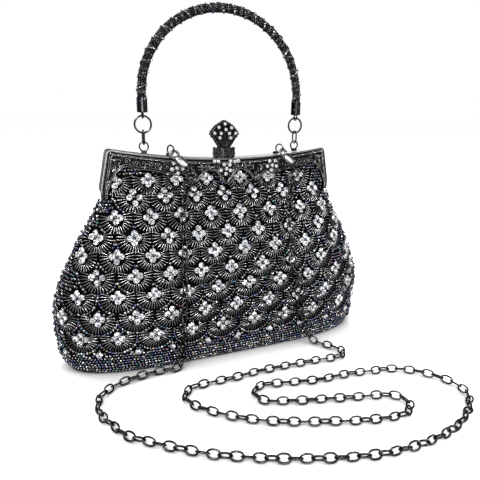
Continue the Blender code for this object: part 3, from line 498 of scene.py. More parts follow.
STEEL = metal("polished_metal", (0.20, 0.20, 0.205), (0.09, 0.09, 0.095), 0.30, amount=0.3, scale=260.0)
ANTIQUE = metal("antiqued_metal", (0.008, 0.0078, 0.0075), (0.003, 0.003, 0.003), 0.24, 0.8, 900.0, 0.8)
RELIEF = metal("relief_metal", (0.19, 0.186, 0.18), (0.006, 0.006, 0.006), 0.12, 0.95, 320.0, relief=0.2)
GUNMETAL = metal("dark_metal", (0.055, 0.054, 0.055), (0.010, 0.010, 0.011), 0.16, amount=0.7, scale=600.0)
CLIP = metal("clip_metal", (0.56, 0.56, 0.56), (0.12, 0.12, 0.12), 0.18, amount=0.9, scale=260.0)
MOULDING = metal("moulding_metal", (0.38, 0.38, 0.38), (0.020, 0.020, 0.020), 0.13, amount=0.95, scale=800.0)
BORDER = metal("border_metal", (0.17, 0.166, 0.16), (0.05, 0.05, 0.05), 0.20, 0.8, 350.0, relief=0.05)
SHADOWED = metal("blackened_metal", (0.012, 0.012, 0.012), (0.003, 0.003, 0.003), 0.22, scale=700.0)
CHAIN = metal("chain_metal", (0.055, 0.054, 0.053), (0.010, 0.010, 0.010), 0.16)
GLOSS = metal("black_gloss", (0.020, 0.020, 0.022), (0.006, 0.006, 0.007), 0.08, scale=300.0, relief=0.05)
SEED = glass("seed_glass", 0.40, 0.92)
BUGLE = glass("bugle_glass", 0.30, 0.95, rough=0.10)
CRYSTAL = glass("crystal", 0.70, 0.35, cloud=0.2, coat=0.8)
CLOTH = cloth("beaded_ground", (0.004, 0.004, 0.005), (0.001, 0.001, 0.001), 800.0)
LINING = cloth("lining_satin", (0.085, 0.085, 0.092), (0.040, 0.040, 0.044), 1200.0, 0.42, 0.5, 0.3)

FINISHES = {
    STEEL: ["front_frame", "rear_frame"],
    ANTIQUE: ["front_plate", "rear_plate"],
    SHADOWED: ["clasp_knob"],
    GUNMETAL: ["clasp_collar", "clasp_pivot_pin", "catch_stud"] + in_pairs(
        "hinge_rivet", "handle_eyelet", "handle_link", "handle_ring", "chain_eyelet"),
    GLOSS: in_pairs("handle_ferrule"),
    CLIP: in_pairs("lobster_hook", "lobster_gate"),
    CHAIN: in_pairs("chain_ring", "swivel_eye"),
}
for finish, names in FINISHES.items():
    for name in names:
        nodes[name].data.materials.clear()
        nodes[name].data.materials.append(finish)
print(f"{sum(map(len, FINISHES.values()))} solid pieces finished")

# %% [markdown]
# ## Chain
# The detachable chain hooks on beside the clasp. It is a limp cable chain of oval links, each turned a
# quarter against the last; here they stand at 45 degrees either way, which is how such a chain lies. Its
# whole 1.2 m shows.

# %% Chain
LINK_LENGTH, LINK_WIDTH, LINK_WIRE, LINK_PITCH = 0.0084, 0.0058, 0.0012, 0.0060
LOWEST, ON_FLOOR, HANG_LOW, HANG_HIGH = 0.0001, 0.0032, 0.085, 0.128
FLOOR_LINE = [  # along the floor, from the left drop to the right one
    (-.0430, -.0335), (-.0520, -.0345), (-.0640, -.0345), (-.0760, -.0365), (-.0870, -.0400),
    (-.0960, -.0470), (-.1000, -.0570), (-.0990, -.0680), (-.0940, -.0790), (-.0880, -.0900),
    (-.0780, -.0990), (-.0640, -.1100), (-.0490, -.1205), (-.0340, -.1285), (-.0180, -.1360),
    (.0000, -.1430), (.0180, -.1490), (.0360, -.1530), (.0560, -.1545), (.0740, -.1535), (.0900, -.1500),
    (.1030, -.1440), (.1130, -.1370), (.1195, -.1280), (.1195, -.1170), (.1130, -.1050), (.1040, -.0960),
    (.0920, -.0895), (.0780, -.0870), (.0600, -.0838), (.0420, -.0830), (.0260, -.0800), (.0120, -.0765),
    (.0000, -.0745), (-.0075, -.0800), (-.0050, -.0895), (.0060, -.0945), (.0200, -.0990), (.0360, -.1035),
    (.0520, -.1080), (.0660, -.1115), (.0755, -.1170), (.0755, -.1265), (.0660, -.1315), (.0520, -.1300),
    (.0360, -.1260), (.0220, -.1210), (.0080, -.1160), (-.0060, -.1100), (-.0190, -.1030), (-.0300, -.0950),
    (-.0400, -.0860), (-.0470, -.0770), (-.0490, -.0670), (-.0420, -.0605), (-.0300, -.0595),
    (-.0150, -.0600), (.0000, -.0590), (.0150, -.0590), (.0330, -.0600), (.0500, -.0610), (.0660, -.0625),
    (.0750, -.0590), (.0730, -.0500), (.0675, -.0420), (.0640, -.0365),
]
CHAIN_ROUTE = [
    (-.0282, -.0153, .1311), (-.0296, -.0127, .1240), (-.0354, -.0208, .1068), (-.0365, -.0281, .0895),
    (-.0378, -.0315, .0713), (-.0382, -.0331, .0540), (-.0395, -.0333, .0350), (-.0398, -.0320, .0200),
    (-.0403, -.0304, .0100),
    *((x, y, ON_FLOOR) for x, y in FLOOR_LINE),
    (.0575, -.0300, .0110), (.0535, -.0320, .0230), (.0492, -.0332, .0420), (.0463, -.0328, .0556),
    (.0430, -.0313, .0721), (.0438, -.0289, .0850), (.0432, -.0259, .0953), (.0458, -.0190, .1094),
    (.0500, -.0134, .1223), (.0518, -.0153, .1311),
]


def rounded_curve(points, steps=8):
    """Catmull-Rom curve through given points."""
    p = np.array([points[0], *points, points[-1]], dtype=float)
    t = (np.arange(steps) / steps)[:, None]
    a, b, c, d = (p[i:len(p) - 3 + i, None] for i in range(4))
    made = b + (c - a) * t / 2 + (2 * a - 5 * b + 4 * c - d) * t**2 / 2 + (3 * b - a - 3 * c + d) * t**3 / 2
    return np.r_[made.reshape(-1, 3), p[-1:]]


def link_template(sides=6, steps=14):
    """Oval wire link in local XY, long along X."""
    right, up = circle(steps)
    half_length, half_width = (LINK_LENGTH - LINK_WIRE) / 2, (LINK_WIDTH - LINK_WIRE) / 2
    corner = np.sign(right) * np.abs(right) ** 0.8
    line = stacked(half_length * corner, half_width * up, 0.0)
    return tube(line, LINK_WIRE / 2, up=(0, 0, 1), sides=sides, closed=True)[:2]


def chain_links(route, lean=0.4, waver=0.22):
    """Links a pitch apart along the route, rolled 45 degrees to either side in turn."""
    places, length = even_points(route, LINK_PITCH)
    count = len(places)
    along, side, lifted = sweep_frames(places, (0.0, -lean, 1.0))
    turn = np.arange(count)[:, None]
    roll = np.where(turn % 2 == 0, 1, -1) * math.radians(45) + waver * np.sin(turn * 1.7)
    across = side * np.cos(roll) + lifted * np.sin(roll)
    axes = stacked(along, across, np.cross(along, across))
    verts, faces, tint = scatter(link_template(), places, axes, white(places), white(places))
    verts[:, 2] = np.maximum(verts[:, 2], LOWEST)
    print(f"chain: {count} links, {length:.3f} m")
    return new_object("chain_links", verts, faces, None, CHAIN)


CHAIN_LINE = rounded_curve(CHAIN_ROUTE)
chain = chain_links(CHAIN_LINE)
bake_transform(chain)
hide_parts("chain_floor_run", "left_chain_drop", "right_chain_drop")

# %% [markdown]
# ## The bag's surface
# Cloth and beads need one shared description of the bag's outside: a place and three directions for any
# distance round the bag and any height. It comes from the same cross-sections as the solid: rounded oblongs
# on the body, and above the hinges a front that leans back to the frame.

# %% Surface of the bag
BODY_HALF, BODY_DEEP, BODY_HIGH, RIM_HALF = 0.119, 0.030, 0.1125, 0.0875
FRAME_HALF, FRAME_TOP_HALF, FRAME_TOP, FRAME_DIP = 0.085, 0.0805, 0.1505, 0.0082
PIVOT, ARM_JOIN, PANEL_FACE, PLATE_TALL = 0.113, 0.125, 0.0055, 0.0375
SHARE = np.array([0, .013, .044, .107, .213, .347, .444, .533, .622, .711, .8, .88, .942, 1])
WIDE = np.array([.683, .762, .856, .936, .985, 1, .962, .856, .713, .547, .388, .207, .063, 0])
DEEP = np.array([.717, .793, .860, .913, .967, 1, .993, .973, .940, .893, .817, .710, .593, .473])
RISE = np.array([0, .08, .16, .24, .32, .42, .6, 1])
BULGE = np.array([1, .93, .72, .42, .16, .03, 0, 0])
PLATE_X = np.array([0, .029, .059, .094, .129, .165, .206, .235, .271, .306, .341, .388, .435, .482, .553,
                    .624, .706, .759, .812, .865, .912, .941, .955, .973]) * FRAME_HALF
PLATE_DROP = np.array([.725, .64, .547, .445, .419, .44, .507, .587, .675, .6, .52, .461, .467, .507, .44,
                       .4, .387, .36, .32, .387, .507, .653, .787, .88])
LEVELS = np.linspace(0, FRAME_TOP, 302)
COLUMNS = 240


def top_height(x):
    """Upper edge of the frame, which dips towards the clasp."""
    return FRAME_TOP - FRAME_DIP * (1 - (x / FRAME_HALF) ** 2)


def plate_edge(x):
    """Height of the plate's scalloped lower edge."""
    return FRAME_TOP - PLATE_TALL * np.interp(np.abs(x), PLATE_X, PLATE_DROP)


def narrowing(z):
    """Width of the frame at a height, as a share of its width at the arms."""
    return 1 + (FRAME_TOP_HALF / FRAME_HALF - 1) * np.clip((z - ARM_JOIN) / (FRAME_TOP - ARM_JOIN), 0, 1)


def surface_table():
    """For each height, evenly spaced points from the middle of the front round to the side.

    Below the rim (x / w)^4 + (y / d)^2 = 1. Above it the rim's depth shrinks to the frame's.
    """
    share = np.clip(LEVELS / BODY_HIGH, 0, 1)
    width = (RIM_HALF + (BODY_HALF - RIM_HALF) * np.interp(share, SHARE, WIDE)) * narrowing(LEVELS)
    turn = math.pi / 2 * np.linspace(0, 1, 400) ** 2
    x = width[:, None] * np.sqrt(np.sin(turn))
    full = (BODY_DEEP * np.interp(share, SHARE, DEEP))[:, None] * np.cos(turn)
    rise = np.clip((LEVELS[:, None] - PIVOT) / (top_height(x) - PIVOT), 0, 1)
    leaning = PANEL_FACE + (full - PANEL_FACE) * np.interp(rise, RISE, BULGE)
    y = np.where(LEVELS[:, None] > PIVOT, leaning, full)
    length = np.c_[np.zeros(len(x)), np.cumsum(np.hypot(np.diff(x), np.diff(y)), axis=1)]
    even = np.linspace(0, 1, COLUMNS)
    tables = (np.stack([np.interp(even * a[-1], a, b) for a, b in zip(length, v)]) for v in (x, y))
    return *tables, length[:, -1]


TABLE_X, TABLE_Y, REACH = surface_table()


def reach_at(z):
    """Distance round the bag from the middle of the front to the middle of the side."""
    return np.interp(z, LEVELS, REACH)


def surface_point(s, z):
    """Point at a signed distance s round the bag; beyond the side it goes on round the back."""
    s, z = np.broadcast_arrays(s, z)
    reach, size = reach_at(z), np.abs(s)
    behind = size > reach
    share = np.clip(np.where(behind, 2 * reach - size, size) / reach, 0, 1) * (COLUMNS - 1)
    row = np.clip(z / FRAME_TOP, 0, 1) * (len(LEVELS) - 1)
    i = np.minimum(row.astype(int), len(LEVELS) - 2)
    j = np.minimum(share.astype(int), COLUMNS - 2)
    u, v = row - i, share - j
    x, y = ((t[i, j] * (1 - v) + t[i, j + 1] * v) * (1 - u)
            + (t[i + 1, j] * (1 - v) + t[i + 1, j + 1] * v) * u for t in (TABLE_X, TABLE_Y))
    return stacked(np.sign(s) * x, np.where(behind, y, -y), z)


def surface(s, z, step=0.0006):
    """Places on the front with their directions: round the bag, outward and up the cloth."""
    across = unit(surface_point(s + step, z) - surface_point(s - step, z))
    up = surface_point(s, np.minimum(z + step, FRAME_TOP)) - surface_point(s, np.maximum(z - step, 0))
    out = unit(np.cross(across, up))
    return surface_point(s, z), across, out, np.cross(out, across)


print(f"front quarter measures {REACH.max() * 1000:.0f} mm round at its widest")

# %% [markdown]
# ## Cloth
# The ground cloth is a tube of black fabric with a flat stiffened base, gathered a little into the frame.
# Nearly all of it hides under beads. The upper front and back, above the hinges, are pieces of their own.
# The lining is loose, so it falls in soft folds.


# %% Cloth shells
EAR_DROP, CLOTH_FOOT, CLOTH_IN, PANEL_HALF, TOP_HEM = 0.0032, 0.0016, 0.0005, 0.0815, 0.0022
LINING_LOW, LINING_HIGH, LINING_IN, FOLD, FOLDS = 0.0030, 0.1060, 0.0026, 0.0009, 19
FACING_IN, FACING_THICK = 0.0010, 0.0003
BASE_LEVEL = 0.0012
BASE_EDGE = [  # how far in and how high: shares of 20 mm up to 0.35, then of the whole half width
    (0.10, 0.0015), (0.02, 0.0015), (0.0, 0.0009), (0.02, 0.0003), (0.10, 0.0001), (0.35, 0.0003),
    (0.6, 0.0004), (0.8, 0.0004), (0.96, 0.0004),
]


def shell(outer, thickness, closed=True):
    """Grid of points (rows, columns, 3) given a thickness inwards, with its edges closed by hems."""
    rows, columns = outer.shape[:2]
    across = np.roll(outer, -1, 1) - np.roll(outer, 1, 1) if closed else np.gradient(outer, axis=1)
    out = unit(np.cross(across, np.gradient(outer, axis=0)))
    wrap = np.concatenate([outer, (outer - out * thickness)[::-1], outer[:1]])
    return wrap.reshape(-1, 3), grid_faces(2 * rows + 1, columns, closed), None


def all_round(columns):
    """Shares of the way round the bag: 0 in front, 1 at the side, 2 at the back."""
    return np.linspace(-1, 1, columns, endpoint=False) * 2


def rim_fall(share, start=0.6, run=0.25):
    """The rim is lower beside the hinges, so that the frame's ears stay clear."""
    step = np.clip((np.abs(share) - start) / run, 0, 1)
    return EAR_DROP * step * step * (3 - 2 * step)


def body_cloth(columns=200, rows=70, thickness=0.0010):
    around = all_round(columns)
    fall = rim_fall(np.where(np.abs(around) > 1, 2 - np.abs(around), np.abs(around)))
    z = CLOTH_FOOT + (BODY_HIGH - fall - CLOTH_FOOT) * np.linspace(0, 1, rows)[:, None] ** 1.2
    point = surface_point(around * reach_at(z), z)
    point[..., :2] *= 1 - CLOTH_IN / np.maximum(np.linalg.norm(point[..., :2], axis=-1, keepdims=True), 0.004)
    return shell(point, thickness)


def base_cloth(columns=120):
    """Flat base with a rounded edge, a little raised in its middle between small feet of beads."""
    level = np.full(columns, BASE_LEVEL)
    edge = surface_point(all_round(columns) * reach_at(level), level)
    size = np.maximum(np.linalg.norm(edge[:, :2], axis=-1, keepdims=True), 1e-6)
    rings = []
    for inset, z in BASE_EDGE:
        scale = np.maximum(1 - inset * 0.02 / size, 0.03) if inset < 0.5 else 1 - inset
        rings.append(edge * (1, 1, 0) * scale + (0, 0, z))
    return np.concatenate(rings), grid_faces(len(rings), columns, closed=True), None


def upper_cloth(inset=0.0, thickness=0.0008):
    """Front above the hinges, from a lap below the rim up to the frame; inset moves it inwards."""
    across, up = np.meshgrid(np.linspace(-1, 1, 120), np.linspace(0, 1, 40))
    x = across * PANEL_HALF
    z = BEND["start"][2] + (top_height(x) - TOP_HEM - BEND["start"][2]) * up
    s = x * narrowing(z) * reach_at(z) / np.interp(z, LEVELS, TABLE_X[:, -1])
    return shell(surface_point(s, z) + (0, inset, 0), thickness, closed=False)


def lining(columns=220, rows=50, thickness=0.0005, bottom=0.0028):
    """Loose pouch inside: it follows the body 2 mm in, with shallow folds that fade towards its top hem."""
    around, up = all_round(columns), np.linspace(0, 1, rows)[:, None]
    z = LINING_LOW + (LINING_HIGH - LINING_LOW) * up
    point = surface_point(around * reach_at(z), z)
    waves = np.sin(around * FOLDS + 2 * np.sin(z * 60))
    fold = FOLD * waves * np.sin(math.pi * np.clip(up * 1.1, 0, 1))
    out = unit(point * (0.35, 1, 0))
    point[..., :2] -= out[..., :2] * (LINING_IN + fold)[..., None] * (1.3, 1.0)
    closing = [point[0] * (k, k, 0) + (0, 0, bottom) for k in (0.03, 0.25, 0.5, 0.75)]
    return shell(np.concatenate([closing, point]), thickness)


make_piece("body_cloth", body_cloth(), CLOTH, "bag", stands_for="body_pouch")
make_piece("base_cloth", base_cloth(), CLOTH, "bag", stands_for="base_panel")
make_piece("lining_cloth", lining(), LINING, "bag", stands_for="lining_pouch")
for half, back in HALVES:
    pair, panel = ("bag", half + "_frame"), half + "_panel"
    make_piece(half + "_cloth", upper_cloth(), CLOTH, pair, back, stands_for=panel)
    make_piece(half + "_facing", upper_cloth(FACING_IN, FACING_THICK), LINING, pair, back)

# %% [markdown]
# ## Beadwork
# The pattern is a traditional scale: four cut crystals round a dark bead, a fan of bugle beads below them
# and one arc of seed beads round the fan. Rows are staggered by half a motif. Seed beads fill what is left,
# in rows, and plain rows of brighter ones run round the foot of the bag. Each bead is sewn by hand, so each
# sits a little differently.

# %% Bead templates
SEED_BEAD = turned([(-0.50, 0.20), (-0.50, 0.66), (-0.26, 1.0), (0.26, 1.0), (0.50, 0.66), (0.50, 0.20)], 6)
BUGLE_BEAD = turned([(-0.5, 0.30), (-0.5, 0.86), (-0.46, 1.0), (0.46, 1.0), (0.5, 0.86), (0.5, 0.30)], 6)
STRUNG_BEAD = turned([(-0.5, 0.45), (-0.26, 1.0), (0.26, 1.0), (0.5, 0.45)], 6)


def cut_stone(sides=8):
    """Round cut stone on local Y: table, star and main facets and a girdle, each with its own points, and a
    painted brightness for each facet.
    """
    def ring(radius, high, phase=0.0):
        right, up = circle(sides, phase)
        return stacked(radius * right, high, radius * up)

    middle, table, crown = ring(0, 0.56), ring(0.36, 0.62), ring(0.80, 0.42, math.pi / sides)
    girdle, foot = ring(1, 0.08), ring(0.9, -0.35)
    next_table, next_girdle, next_foot = (np.roll(a, -1, 0) for a in (table, girdle, foot))
    quads = [(middle, table, next_table, next_table), (table, crown, next_table, next_table),
             (table, girdle, crown, crown), (next_table, crown, next_girdle, next_girdle),
             (crown, girdle, next_girdle, next_girdle), (girdle, foot, next_foot, next_girdle)]
    verts = np.concatenate([np.stack(q, axis=1).reshape(-1, 3) for q in quads])
    # painted light and shade: each facet's brightness stands in for the light a cut stone reflects: dark
    # table, bright crown, dimmer pavilion
    shade = np.repeat([0.22, 0.85, 1.0, 0.95, 0.80, 0.40], 4 * sides)
    return (verts, np.arange(len(verts)).reshape(-1, 4)[:, ::-1]), shade


STONE, PAINTED_FACET_LIGHT = cut_stone()
FACETS = len(PAINTED_FACET_LIGHT) // 4
rng = np.random.default_rng(41)
GLASSES = np.array([
    (.13, .13, .14), (.22, .22, .23), (.07, .07, .08), (.36, .36, .37), (.60, .60, .61), (.06, .07, .15),
    (.09, .07, .15), (.06, .12, .13), (.08, .13, .19), (.20, .18, .12), (.15, .08, .09), (.22, .18, .19),
])
CALM = np.array([.30, .18, .15, .08, .03, .070, .06, .040, .035, .025, .015, .015])
LIVELY = np.array([.15, .14, .10, .12, .07, .10, .09, .05, .06, .06, .03, .03])


def glasses(count, lively):
    """Bead colours picked at random; lively shifts the odds from greys to colours."""
    odds = CALM / CALM.sum() * (1 - lively[:, None]) + LIVELY / LIVELY.sum() * lively[:, None]
    pick = (rng.random(count)[:, None] > np.cumsum(odds, axis=1)).sum(axis=1).clip(0, len(CALM) - 1)
    return GLASSES[pick] * rng.uniform(0.75, 1.3, (count, 1))


def stones_at(places, axes, sizes, tone, painted_facet_glints):
    """Copies of the cut stone; each facet of each stone is dimmed by its own painted glint factor."""
    verts, faces, tint = scatter(STONE, places, axes, sizes, tone)
    # painted light: the cut's painted facet brightness times each facet's painted glint factor
    shade = np.tile(PAINTED_FACET_LIGHT, len(places)) * painted_facet_glints.repeat(4, axis=1).ravel()
    return verts, faces, tint * shade[:, None]


print(f"{len(SEED_BEAD[1])} faces a seed bead, {len(STONE[1])} a crystal")

# %% [markdown]
# The motifs' places were read from the photograph row by row. Rows go on round the sides at their own
# spacing, and the back repeats the front turned half round.

# %% Motif lattice
ROWS = [
    (.1290, [-.0765, -.0547, -.0355, -.0139, .0113, .0335, .0580, .0790]),
    (.1185, [-.0650, -.0446, -.0240, -.0028, .0192, .0433, .0699]),
    (.1063, [-.0777, -.0560, -.0354, -.0150, .0067, .0301, .0560]),
    (.0943, [-.0903, -.0677, -.0461, -.0255, -.0044, .0187, .0439, .0703]),
    (.0826, [-.0793, -.0572, -.0359, -.0149, .0070, .0310, .0567, .0859]),
    (.0700, [-.0923, -.0690, -.0467, -.0253, -.0033, .0205, .0440, .0709, .1020]),
    (.0570, [-.1047, -.0810, -.0583, -.0359, -.0134, .0100, .0345, .0587, .0859]),
    (.0425, [-.0941, -.0702, -.0467, -.0236, .0001, .0257, .0500, .0756, .1018]),
    (.0283, [-.1052, -.0825, -.0580, -.0333, -.0100, .0143, .0392, .0651, .0924]),
]
LOW_STONES = (.0165, [-.0943, -.0701, -.0467, -.0211, .0025, .0284, .0540, .0796])
FAN_START, FAN_BELOW, FAN_BESIDE, ARC_GAP = 0.0053, 0.0099, 0.0112, 0.0012
STONE_OFFSET, STONE_RADIUS = 0.0029, 0.00225
UPPER_LOW, UPPER_HALF = 0.112, 0.076


def extended(z, places, spare=0.007):
    """Row's distances round the bag, with motifs added at its mean spacing until the side is full."""
    row = round(z / FRAME_TOP * (len(LEVELS) - 1))
    even = np.linspace(0, REACH[row], COLUMNS)
    s = [math.copysign(np.interp(abs(x), TABLE_X[row], even), x) for x in places]
    limit = reach_at(z) - spare if z < UPPER_LOW else UPPER_HALF
    pitch = (s[-1] - s[0]) / (len(s) - 1)
    while s[-1] + pitch < limit:
        s.append(s[-1] + pitch)
    while s[0] - pitch > -limit:
        s.insert(0, s[0] - pitch)
    return [(a, z) for a in s if abs(a) < limit + 0.003]


MOTIFS = np.array([m for z, places in ROWS for m in extended(z, places)])
SINGLES = np.array(extended(*LOW_STONES))
print(f"{len(MOTIFS)} motifs and {len(SINGLES)} single stones a side")

# %% [markdown]
# Everything is laid out on the flat first, as (distance round, height) with an angle, then lifted onto the
# surface.


# %% Places on the flat
ARM_EDGE, CORNER_EDGE, ARM_FOOT = 0.0838, 0.0795, 0.117
FAN_TURNS, ARC_TURNS = np.linspace(-106, 106, 19), np.linspace(-92, 92, 19)
SHORTEST_BUGLE, ASKEW = 0.0022, 0.00012


def each_motif(degrees):
    """The same turns for every motif: whose it is, and the turn from straight down."""
    turn = np.radians(degrees)
    return np.repeat(np.arange(len(MOTIFS)), len(turn)), np.tile(turn, len(MOTIFS))


def from_motif(owner, turn, radius):
    """Places at a turn and a distance from motifs' middles."""
    return MOTIFS[owner, 0] + radius * np.sin(turn), MOTIFS[owner, 1] - radius * np.cos(turn)


def gap_to(s, z, others):
    """Distance on the flat from each place to the nearest of the others."""
    tree = KDTree(len(others))
    for index, (a, b) in enumerate(others):
        tree.insert((a, b, 0), index)
    tree.balance()
    return np.array([tree.find((a, b, 0))[2] for a, b in zip(s, z)])


def on_the_bag(s, z, lap=0.0002, seam=0.0006, hem=0.0008):
    """True where a place lies on this side of the bag and isn't under the plate or the frame's arms."""
    x = np.abs(surface_point(s, z)[:, 0])
    below_plate = (z < plate_edge(x) + lap) & (x < np.where(z < ARM_FOOT, ARM_EDGE, CORNER_EDGE))
    side = np.abs(s) < reach_at(z) - seam
    rim = BODY_HIGH - np.where(x > ARM_EDGE, rim_fall(x / RIM_HALF), 0)
    return side & (z > hem) & np.where(z > rim - hem, below_plate, True)


def fan_reach(turn, owner):
    """How far a fan reaches: wider than high, up to other crystals and half way to the next motif."""
    apart = MOTIFS[None, :, 0] - MOTIFS[:, None, 0]
    same_row = MOTIFS[None, :, 1] == MOTIFS[:, None, 1]
    right = np.where(same_row & (apart > 0), apart, 1.0).min(axis=1)
    left = np.where(same_row & (apart < 0), -apart, 1.0).min(axis=1)
    aside, down = np.sin(turn), -np.cos(turn)
    half_way = np.where(aside > 0, right[owner], left[owner]) / 2 - 0.0002
    away = MOTIFS[None] - MOTIFS[owner][:, None]
    ahead = away[..., 0] * aside[:, None] + away[..., 1] * down[:, None]
    chord = FAN_START**2 - (away**2).sum(axis=-1) + ahead**2
    met = np.where((ahead > 0) & (chord > 0), ahead - np.sqrt(np.maximum(chord, 0)), 1.0)
    met[np.arange(len(turn)), owner] = 1.0
    plain = FAN_BELOW + (FAN_BESIDE - FAN_BELOW) * aside**2
    return np.minimum(np.minimum(plain, met.min(axis=1)), half_way / np.maximum(np.abs(aside), 0.2))


def arcs(sewn, off_bugles=0.00112, off_motifs=0.0059):
    """One row of seed beads round each fan, where no other fan is in the way."""
    owner, turn = each_motif(ARC_TURNS)
    s, z = from_motif(owner, turn, fan_reach(turn, owner) + ARC_GAP)
    keep = on_the_bag(s, z) & (gap_to(s, z, sewn) > off_bugles) & (gap_to(s, z, MOTIFS) > off_motifs)
    return s[keep], z[keep], turn[keep]


def fillers(sewn, arc, pitch=0.0022, low=0.0086, high=0.142, uneven=0.00016):
    """Rows of seed beads over the whole side, left out wherever something else is sewn."""
    z = np.arange(low, high, pitch)
    reach = reach_at(z).max()
    s, z = (g.ravel() for g in np.meshgrid(np.arange(-reach, reach, pitch), z))
    s = s + rng.normal(0, uneven, len(s)) + 0.5 * pitch * (np.rint(z / pitch) % 2)
    z = z + rng.normal(0, ASKEW, len(z))
    free = on_the_bag(s, z)
    s, z = s[free], z[free]
    sides = np.array([(1, 0), (0, 1), (-1, 0), (0, -1)])
    stones = np.concatenate([MOTIFS + STONE_OFFSET * side for side in sides])
    gaps = ((stones, 0.0030), (MOTIFS, 0.0030), (SINGLES, 0.0029), (sewn, 0.00124), (arc, 0.00170))
    keep = np.all([gap_to(s, z, others) > gap for others, gap in gaps], axis=0)
    return s[keep], z[keep], 0 * s[keep]


def foot_rows(levels=(0.0020, 0.0042, 0.0064), pitch=0.0022, margin=0.001):
    """Plain rows of lively beads round the foot, staggered."""
    found = []
    for row, z in enumerate(levels):
        reach = reach_at(z)
        s = np.arange(-reach + margin, reach - margin, pitch) + pitch / 2 * (row % 2)
        found.append((s, np.full(len(s), z) + rng.normal(0, ASKEW, len(s)), 0 * s))
    return np.hstack(found)


def rim_rows(bead=0.0016, seam_bead=0.00175):
    """A row along the rim beside the hinges, a bunch in front of each ear and a row down the side seam."""
    fall = BODY_HIGH - EAR_DROP
    back = np.arange(0.0006, 0.0165, bead)
    rise = EAR_DROP * np.clip((back - 0.0065) / 0.009, 0, 1)
    rows = [(side * (reach_at(fall) - back), fall + 0.0002 + rise) for side in (1, -1)]
    for lift in (0.0018, 0.0034, 0.0050, 0.0064):
        part = back[(back > 0.0050) & (back < 0.0115 - lift * 0.9)]
        z = np.full(len(part), fall + lift)
        rows += [(side * (reach_at(z) - part), z) for side in (1, -1)]
    seam = np.arange(0.0024, fall - 0.001, seam_bead)
    s, z = np.hstack([*rows, (reach_at(seam) - 0.0002, seam)])
    return s, z, 0 * s


print(f"a fan reaches {FAN_BELOW * 1000:.1f} mm down and {FAN_BESIDE * 1000:.1f} mm aside")

# %% [markdown]
# A seed bead's hole runs along its row and a bugle bead's away from its motif. Sizes and glasses vary a
# little from bead to bead, as they do in real glass, and a few beads stand proud of the rest.


# %% Sewing the beads
def laid(template, s, z, angle, sizes, lift, tints, wobble=0.12):
    """Beads with their hole along angle (0 is round the bag), lifted off the cloth, each a little askew."""
    place, across, out, up = surface(s, z)
    angle = (angle + rng.normal(0, wobble, len(s)))[:, None]
    tilt = rng.normal(0, wobble * 0.6, len(s))[:, None]
    along = unit(across * np.cos(angle) + up * np.sin(angle) + out * tilt)
    face = unit(out - (out * along).sum(-1, keepdims=True) * along)
    axes = stacked(along, face, np.cross(along, face))
    return scatter(template, place + out * np.reshape(lift, (-1, 1)), axes, sizes, tints)


def bead_sizes(length, radius):
    return stacked(length, radius, radius)


def seed_field(s, z, angle, lively=None, gain=1.0, loose=0.04, size=0.0020):
    """Seed beads of slightly uneven size and any glass; a loose one stands proud of the rest."""
    count = len(s)
    if lively is None:
        lively = np.clip((0.05 - z) / 0.04, 0.05, 1)
    length = size * rng.uniform(0.80, 1.0, count)
    radius = size / 2 * rng.uniform(0.88, 1.08, count)
    edge = np.clip(np.abs(s) / reach_at(z) * 4 - 3, 0, 1)
    proud = (rng.random(count) < loose + 0.30 * edge) * rng.uniform(0.0005, 0.0014, count) * (z > 0.007)
    tints = glasses(count, lively) * gain
    return laid(SEED_BEAD, s, z, angle, bead_sizes(length, radius), radius * 0.9 + proud, tints)


def fans():
    """Bugle beads that point away from each motif's middle, from one side round the bottom to the other."""
    owner, turn = each_motif(FAN_TURNS)
    reach = fan_reach(turn, owner)
    s, z = from_motif(owner, turn, (FAN_START + reach) / 2)
    whole = on_the_bag(s, z) & on_the_bag(*from_motif(owner, turn, reach))
    keep = whole & (reach - FAN_START > SHORTEST_BUGLE)
    s, z, turn, long = s[keep], z[keep], turn[keep], reach[keep] - FAN_START
    along = np.linspace(-0.5, 0.5, 5)[:, None] * long
    sewn = np.c_[(s + along * np.sin(turn)).ravel(), (z - along * np.cos(turn)).ravel()]
    length = long * rng.uniform(0.93, 1.03, len(s))
    radius = rng.uniform(0.00036, 0.00044, len(s))
    shade = np.array([.34, .34, .35]) * rng.uniform(0.7, 1.2, (len(s), 1))
    sizes = bead_sizes(length, radius)
    return laid(BUGLE_BEAD, s, z, turn - math.pi / 2, sizes, radius + 0.0001, shade, wobble=0.05), sewn


def crystals(uneven=0.00022, leaning=0.22, raised=0.0008, dull=0.30):
    """Four stones round each motif's middle and the single stones, cut faces outward."""
    s, z = from_motif(*each_motif([0, 90, 180, 270]), STONE_OFFSET)
    s, z = np.r_[s, SINGLES[:, 0]], np.r_[z, SINGLES[:, 1]]
    s, z = s + rng.normal(0, uneven, len(s)), z + rng.normal(0, uneven, len(z))
    keep = on_the_bag(s, z)
    s, z, count = s[keep], z[keep], keep.sum()
    place, across, out, up = surface(s, z)
    spin = rng.uniform(0, math.pi / 4, count)[:, None]
    side = across * np.cos(spin) + up * np.sin(spin)
    lean = unit(out + side * rng.normal(0, leaning, (count, 1)))
    side = unit(side - (side * lean).sum(-1, keepdims=True) * lean)
    axes = stacked(side, lean, np.cross(side, lean))
    size = STONE_RADIUS * rng.uniform(0.92, 1.05, count)
    tone = rng.uniform(0.7, 1.0, (count, 1)) * (0.86, 0.87, 0.90)
    # painted glints: a share (dull) of the facets is painted dark, as if mirroring the dark room, and the
    # rest bright
    some = (count, FACETS)
    dark = rng.random(some) < dull
    painted_facet_glints = np.where(dark, rng.uniform(0.03, 0.22, some), rng.uniform(0.8, 1.1, some))
    return stones_at(place + out * raised, axes, np.c_[size, size, size], tone, painted_facet_glints)


